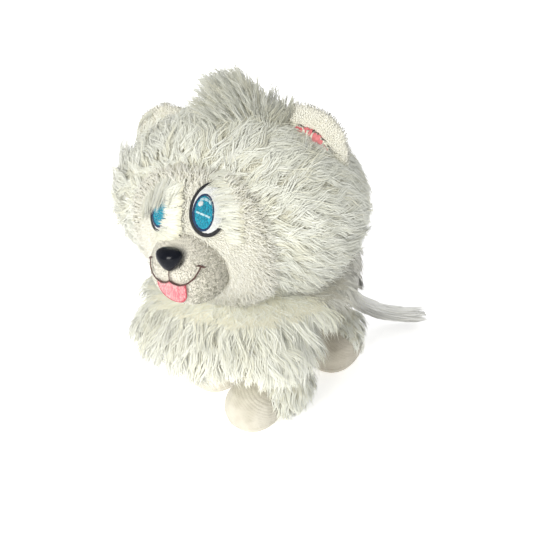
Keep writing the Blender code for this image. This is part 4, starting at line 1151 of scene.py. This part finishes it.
def make_lining(name, middle):
    """Satin with a soft crease over its middle, gathered along its seam."""
    lining = relaxed_copy(f"{name}_ear_lining", f"ear_{name}_satin", 0.6 * MM, 5)
    places, normals = points_of(lining)
    rel = places - middle
    crease = np.sin(rel[:, 2] * 900 + 3 * np.sin(rel[:, 0] * 500)) * 0.18 * MM
    turn = np.arctan2(rel[:, 2], rel[:, 0])
    rim = smoothstep(np.hypot(rel[:, 0] / (15.5 * MM), rel[:, 2] / (18 * MM)), 0.6, 1.0)
    crease = crease + rim * np.sin(turn * 38) * 0.22 * MM
    move_points(lining, places + normals * crease[:, None])
    dressed(lining, "head",
            [satin("ear_satin", (0.88, 0.30, 0.31), (0.74, 0.17, 0.19))],
            [f"{name}_ear_lining"])


def make_ears():
    """Short-pile ears with pink linings; the head's hair hangs over the right one."""
    for side, name in ((1, "left"), (-1, "right")):
        skin = relaxed_copy(f"{name}_ear", f"ear_{name}_cloth", 1.2 * MM, 4)
        dressed(skin, "head", [backing(*FACE_CLOTH)], [f"{name}_ear"])
        low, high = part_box(f"{name}_ear_lining")
        middle = np.array((low + high) / 2)
        places, _ = points_of(skin)
        foot = np.array((places[:, 0].mean(), places[:, 1].mean(), places[:, 2].min()))

        def keep(found, facing):
            rel = found - middle
            inner = np.hypot(rel[:, 0] / (17.5 * MM), rel[:, 2] / (20 * MM)) < 1
            hidden = shell_level(to_head(found), HEAD) < 0.72
            return ~(inner & (facing[:, 1] < -0.2)) & ~hidden

        roots, normals = scatter(skin, 0.85 * MM, 14, keep)
        flow = flattened(roots - foot, normals)
        pile(f"ear_{name}_pile", roots, normals, flow, 2.3 * MM, 0.45 * MM, "head",
             PILE_TONES, 43)
        if side < 0:
            roots, normals = scatter(skin, 3.4 * MM, 18, keep)
            flow = flattened(unit(roots - foot) * 0.6 + DOWN, normals)
            grow("ear_right_hair", roots, normals, flow, EAR_COAT, "head", 44)
        make_lining(name, middle)


def make_stuffing():
    core = relaxed_copy("head_stuffing", "head_wadding", 2.0 * MM, 4)
    places, normals = points_of(core)
    lumps = (np.sin(places[:, 0] * 260 + 2 * np.sin(places[:, 1] * 210))
             * np.sin(places[:, 2] * 240 + 2 * np.sin(places[:, 0] * 190)))
    move_points(core, places + normals * ((lumps - 1.0) * 0.35 * MM)[:, None])
    fill = wadding("fibre_fill", (0.93, 0.93, 0.92), (0.82, 0.82, 0.80))
    dressed(core, "head", [fill], ["head_stuffing"])


# --- body ----------------------------------------------------------------------------
DRIVE_ROOM = (np.array(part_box("belly_panel")[0]) - 0.5 * MM,
              np.array((*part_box("belly_panel")[1].xy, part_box("chassis_cover")[1].z)) + 0.5 * MM)


def make_ruff():
    """Long hair down the chest, shorter over the stepping boot."""
    skin = relaxed_copy("chest_ruff", "ruff_pelt", 2.2 * MM)
    sunk(skin, RUFF, 7 * MM, DRIVE_ROOM)
    dressed(skin, "torso", [backing(*PELT)], ["chest_ruff"])

    def keep(found, facing):
        return agree(facing, shell_normal(found, RUFF), 0.3) & (facing[:, 2] > -0.6)

    roots, _ = scatter(skin, 3.4 * MM, 15, keep)
    chin = np.array((0, NECK_Y - 22 * MM, 82 * MM))
    outward = shell_normal(roots, RUFF)
    flow = flattened(unit(roots - chin) + DOWN * 0.5, outward)
    over_boot = np.exp(-((roots[:, 0] - 29 * MM) / (18 * MM)) ** 2)
    scale = np.clip((roots[:, 2] - 28 * MM - 17 * MM * over_boot) / (26 * MM), 0.2, 1.0)
    grow("ruff_hair", roots, outward, flow, RUFF_COAT, "torso", 23, scale,
         floor=RUFF_LOW, room=DRIVE_ROOM)


def make_collar():
    """Locks that lie under the head and fall over the ruff, to close the neck's gap."""
    rng = np.random.default_rng(28)
    angle = rng.uniform(0, 2 * np.pi, COLLAR_LOCKS)
    reach = rng.uniform(COLLAR_NEAR, COLLAR_FAR, COLLAR_LOCKS) * MM
    outward = np.stack((np.cos(angle), np.sin(angle), np.zeros(COLLAR_LOCKS)), axis=1)
    roots = outward * reach[:, None] + (0, NECK_Y, 75 * MM)
    inside = roots[:, 1] < NECK_Y + 42 * MM
    roots, outward = roots[inside], outward[inside]
    outer = smoothstep(reach[inside], 38 * MM, COLLAR_FAR * MM)
    normals = unit(outward * 0.6 - DOWN)
    lift, droop = 0.1 + 0.75 * outer, 0.25 + 1.75 * outer
    # the locks behind the neck take the shaded tones: painted shade
    behind = roots[:, 1] > NECK_Y - 4 * MM
    for name, coat, chosen, seed in (("collar_hair", COLLAR_COAT, ~behind, 29),
                                     ("nape_hair", NAPE_COAT, behind, 30)):
        grow(name, roots[chosen], normals[chosen], outward[chosen], coat, "torso", seed,
             lift=lift[chosen], droop=droop[chosen], room=DRIVE_ROOM)


def make_body():
    """Hair that falls away from the neck over the back and the flanks."""
    skin = relaxed_copy("body_fur", "body_pelt", 2.2 * MM)
    sunk(skin, BODY, 5 * MM, DRIVE_ROOM)
    # the body's backing is darker than the other pelts' backing: painted shade
    dressed(skin, "torso",
            [backing("body_backing_shaded", (0.66, 0.64, 0.56), (0.54, 0.52, 0.44))], ["body_fur"])

    def keep(found, facing):
        return agree(facing, shell_normal(found, BODY), 0.3) & (facing[:, 2] > -0.7)

    roots, _ = scatter(skin, 3.0 * MM, 16, keep)
    outward = shell_normal(roots, BODY)
    neck = np.array((0, NECK_Y, 110 * MM))
    flow = flattened(unit(roots - neck) + DOWN * 0.6, outward)
    # the body coat's shaded tones are painted shade
    grow("body_hair", roots, outward, flow, BODY_COAT, "torso", 24, floor=BODY_LOW,
         room=DRIVE_ROOM)


def make_rump():
    """Locks over the chassis's rear wall and the tail's lug, where the body skin ends."""
    rng = np.random.default_rng(31)
    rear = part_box("chassis_cover")[1].y
    across = rng.uniform(-34, 34, RUMP_LOCKS) * MM
    corner = smoothstep(np.abs(across), 22 * MM, 34 * MM)
    wall = np.stack((across, rear + 1.2 * MM - 2.5 * MM * corner,
                     rng.uniform(50, 62, RUMP_LOCKS) * MM), axis=1)
    lug = np.stack((rng.uniform(-7, 7, LUG_LOCKS) * MM,
                    rng.uniform(rear + 2 * MM, TAIL_Y + 3 * MM, LUG_LOCKS),
                    rng.uniform(56, 59, LUG_LOCKS) * MM), axis=1)
    roots = np.concatenate((wall, lug))
    normals = unit(np.stack((roots[:, 0] / (60 * MM), np.ones(len(roots)),
                             np.full(len(roots), 0.1)), axis=1))
    flow = unit(normals * 0.25 + DOWN)
    # the rump coat's shaded tones are painted shade
    grow("rump_hair", roots, normals, flow, RUMP_COAT, "torso", 32, floor=RUMP_LOW)


def make_belly():
    skin = relaxed_copy("belly_panel", "belly_cloth", 0.8 * MM, 3)
    dressed(skin, "torso",
            [knit("belly_tricot", (0.84, 0.82, 0.74), (0.74, 0.715, 0.62))], ["belly_panel"])


KNIT_PITCH = 1.5 * MM


def make_boot(leg):
    """A stuffed boot with knitted ribs and the seam of its sole."""
    boot = relaxed_copy(f"boot_{leg}", f"boot_{leg}_knit", 0.95 * MM, 8, 1)
    places, normals = points_of(boot)
    low, high = (np.array(corner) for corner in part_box(f"boot_{leg}"))
    rel = places - (low + high) / 2
    slope = rel[:, 0] * 0.55 + rel[:, 1] * 0.25 + rel[:, 2] * 0.8
    along = rel[:, 0] * 0.8 - rel[:, 1] * 0.5 - rel[:, 2] * 0.35
    row = slope / KNIT_PITCH
    loop = along / KNIT_PITCH + 0.5 * np.floor(row)
    ribs = np.abs(np.sin(np.pi * row)) ** 0.7 * (0.72 + 0.28 * np.abs(np.cos(np.pi * loop)))
    ground = smoothstep(places[:, 2], low[2], low[2] + 2.5 * MM)
    seam = np.exp(-((places[:, 2] - low[2] - 5.5 * MM) / (0.6 * MM)) ** 2)
    height = (ribs - 1) * 0.24 * MM * ground - seam * 0.5 * MM
    move_points(boot, places + normals * height[:, None])
    front = leg.startswith("front")
    # the rear boots are the same knit in darker colours: painted shade
    colours = (((0.70, 0.665, 0.57), (0.60, 0.565, 0.47)) if front
               else ((0.60, 0.555, 0.46), (0.50, 0.455, 0.37)))
    dressed(boot, f"leg_{leg}",
            [knit("boot_knit" if front else "boot_knit_rear_shaded", *colours)], [f"boot_{leg}"])


def make_cuff(leg):
    """The long-haired ring round a leg."""
    cuff = relaxed_copy(f"leg_cuff_{leg}", f"cuff_{leg}_pelt", 1.6 * MM)
    low, high = (np.array(corner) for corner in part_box(f"leg_cuff_{leg}"))
    solid = ((low + high) / 2, (high - low) / 2)
    sunk(cuff, solid, 3.5 * MM)
    dressed(cuff, f"leg_{leg}", [backing(*PELT)], [f"leg_cuff_{leg}"])

    def keep(found, facing):
        return agree(facing, shell_normal(found, solid), 0.2) & (found[:, 2] > 6 * MM)

    roots, _ = scatter(cuff, 2.5 * MM, 17, keep)
    outward = shell_normal(roots, solid)
    flow = flattened(unit(roots - solid[0]) * 0.3 + DOWN, outward)
    grow(f"cuff_{leg}_hair", roots, outward, flow, CUFF_COAT, f"leg_{leg}", 25, floor=1.0 * MM)


def make_tail():
    """Long straight fibres laid along the plume from a stitched core."""
    core = relaxed_copy("tail_plume", "tail_core", 1.2 * MM)
    places, normals = points_of(core)
    move_points(core, places - normals * 1.6 * MM)
    dressed(core, "tail",
            [backing("tail_backing", (0.90, 0.90, 0.86), (0.80, 0.80, 0.75))], ["tail_plume"])
    root = np.array((0, TAIL_Y + 8 * MM, 47 * MM))
    bend = np.array((20 * MM, TAIL_Y + 14 * MM, 3 * MM))
    tip = np.array((62 * MM, TAIL_Y + 42 * MM, 7 * MM))
    rng = np.random.default_rng(26)
    count, points = PLUME_STRANDS, PLUME_POINTS
    begin = rng.beta(1.0, 1.1, count) * 0.66
    run = rng.uniform(0.28, 0.36, count)
    travel = np.linspace(0, 1, points)[None, :, None]
    share = begin[:, None, None] + run[:, None, None] * travel
    middle = root * (1 - share) ** 2 + bend * 2 * share * (1 - share) + tip * share ** 2
    along = unit((bend - root) * (1 - share) + (tip - bend) * share)
    across = unit(np.cross(along, (0, 0, 1)))
    above = np.cross(across, along)
    swell = 0.8 + 0.25 * share
    angle = rng.uniform(0, 2 * np.pi, count)[:, None, None]
    reach = rng.uniform(0.72, 1.08, count)[:, None, None]
    flare = 1 + 0.16 * travel * rng.normal(0, 1, count)[:, None, None]
    wide, tall = 7.0 * MM * swell, 5.5 * MM * (1 - 0.5 * share) * swell
    paths = middle + (across * wide * np.cos(angle) + above * tall * np.sin(angle)) * reach * flare
    paths[..., 2] = np.maximum(paths[..., 2], 0.6 * MM)
    radii = np.repeat((rng.uniform(0.3, 0.5, count) * MM)[:, None], points, axis=1)
    tone = rng.choice(3, count, p=TONE_SHARES)
    # strands that start near the plume's base take the silver and grey tones: painted shade towards
    # the base
    tone = np.where(rng.random(count) > begin * 3.2, rng.choice((1, 2), count), tone)
    slots = np.repeat(tone[:, None], points - 1, axis=1)
    facing = np.tile(unit(np.array(FRONT_LIT)), (count, 1))
    in_pieces("tail_hair", "tail", TAIL_TONES, paths, radii, facing, slots, 0.6,
              paths[:, 0].mean(axis=0), FRONT_LIT)
    cover_arm(rng)


def cover_arm(rng):
    """Locks over the plastic arm that carries the plume."""
    across = rng.uniform(-1, 1, TAIL_ROOT_LOCKS)
    arm_low, arm_high = TAIL_Y + 1 * MM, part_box("tail_peg")[1].y + 0.8 * MM
    roots = np.stack((across * 3.5 * MM, rng.uniform(arm_low, arm_high, TAIL_ROOT_LOCKS),
                      np.full(TAIL_ROOT_LOCKS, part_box("tail_peg")[1].z + 0.6 * MM)), axis=1)
    end = smoothstep(roots[:, 1], arm_high - 4 * MM, arm_high)
    flow = unit(np.stack((across * (1 - 0.6 * end), 0.15 + 0.6 * end, -np.ones(len(end))), axis=1))
    normals = unit(np.stack((across * 0.6, 0.1 + 0.6 * end, np.ones(len(end))), axis=1))
    grow("tail_root_hair", roots, normals, flow, TAIL_ROOT_COAT, "tail", 33)


# --- hard parts -------------------------------------------------------------------
def finish_hard_parts():
    """Better materials for the CAD solids that stay."""
    case = plastic("case_abs", (0.80, 0.80, 0.77), (0.74, 0.74, 0.70), 0.42)
    gear = plastic("gear_acetal", (0.84, 0.82, 0.74), (0.78, 0.755, 0.66), 0.34)
    dark = plastic("dark_abs", (0.035, 0.035, 0.038), (0.022, 0.022, 0.024), 0.45)
    pink = plastic("button_silicone", (0.80, 0.28, 0.34), (0.72, 0.22, 0.28), 0.5)
    steel = metal("steel_drawn", (0.62, 0.62, 0.63), (0.50, 0.50, 0.52), 0.3)
    brass = metal("brass_turned", (0.78, 0.58, 0.27), (0.62, 0.44, 0.19), 0.28)
    by_slot = {
        "case_white": case, "gear_white": gear, "dark_plastic": dark, "button_pink": pink,
        "steel": steel, "brass": brass,
        "board_green": board("board_mask", (0.05, 0.26, 0.11), (0.02, 0.15, 0.06)),
        "cell_wrap": cell_wrap("cell_sleeve", (0.14, 0.17, 0.22), (0.62, 0.60, 0.55)),
    }
    slot_of = {row["node"]: row["material_slot"] for row in frame["record"]["subparts"]}
    for name, obj in NODES.items():
        made = by_slot.get(slot_of.get(name))
        if made is not None:
            for slot in obj.material_slots:
                slot.material = made


# --- floor, lights, camera ------------------------------------------------------------
def make_floor():
    mesh = bpy.data.meshes.new("floor")
    half = 3.0
    mesh.from_pydata([(-half, -half, 0), (half, -half, 0), (half, half, 0), (-half, half, 0)], [],
                     [(0, 1, 2, 3)])
    floor = new_object("floor", mesh)
    floor.location.z = -0.2 * MM
    paint = Surface("floor_paint", (0.96, 0.96, 0.96), 0.8,
                    Emission_Color=(1, 1, 1, 1), Emission_Strength=0.52)
    paint.roughness(paint.noise(30), 0.7, 0.9)
    mesh.materials.append(paint.made)


def make_light(name, place, aim, size, power, tint=(1, 1, 1)):
    data = bpy.data.lights.new(name, "AREA")
    data.size = size
    data.energy = power
    data.color = tint
    lamp = bpy.data.objects.new(name, data)
    bpy.context.scene.collection.objects.link(lamp)
    lamp.location = place
    lamp.rotation_mode = "QUATERNION"
    lamp.rotation_quaternion = (Vector(aim) - Vector(place)).to_track_quat("-Z", "Y")


def make_lights():
    middle = (0, NECK_Y, 0.1)
    make_light("key", (0.15, -1.25, 0.52), middle, 0.5, 12, (1.0, 0.985, 0.93))
    make_light("fill", (-1.0, -0.4, 0.5), middle, 1.0, 1.0)
    make_light("rim", (-0.75, 1.15, 0.75), middle, 0.8, 11)
    world = bpy.data.worlds.new("studio")
    bpy.context.scene.world = world
    world.use_nodes = True
    background = world.node_tree.nodes["Background"]
    background.inputs["Color"].default_value = (1.0, 1.0, 1.0, 1.0)
    background.inputs["Strength"].default_value = 0.46
    bpy.context.scene.view_settings.view_transform = "Standard"


def make_camera():
    back = Vector((math.sin(VIEW_AZIMUTH) * math.cos(VIEW_ELEVATION),
                   -math.cos(VIEW_AZIMUTH) * math.cos(VIEW_ELEVATION), math.sin(VIEW_ELEVATION)))
    data = bpy.data.cameras.new("camera")
    data.sensor_width = 36
    data.lens = VIEW_LENS
    data.clip_start = 0.01
    camera = bpy.data.objects.new("camera", data)
    bpy.context.scene.collection.objects.link(camera)
    camera.location = VIEW_TARGET + back * VIEW_DISTANCE
    camera.rotation_mode = "QUATERNION"
    level = (-back).to_track_quat("-Z", "Y")
    camera.rotation_quaternion = level @ Matrix.Rotation(-VIEW_ROLL, 3, "Z").to_quaternion()
    bpy.context.scene.camera = camera


make_camera()
make_floor()
make_lights()
make_head_fur()
make_fringe()
make_face()
make_muzzle()
make_nose()
make_eye(1)
make_eye(-1)
make_mouth()
make_ears()
make_stuffing()
make_ruff()
make_collar()
make_body()
make_rump()
make_belly()
for leg in LEGS:
    make_boot(leg)
    make_cuff(leg)
make_tail()
finish_hard_parts()
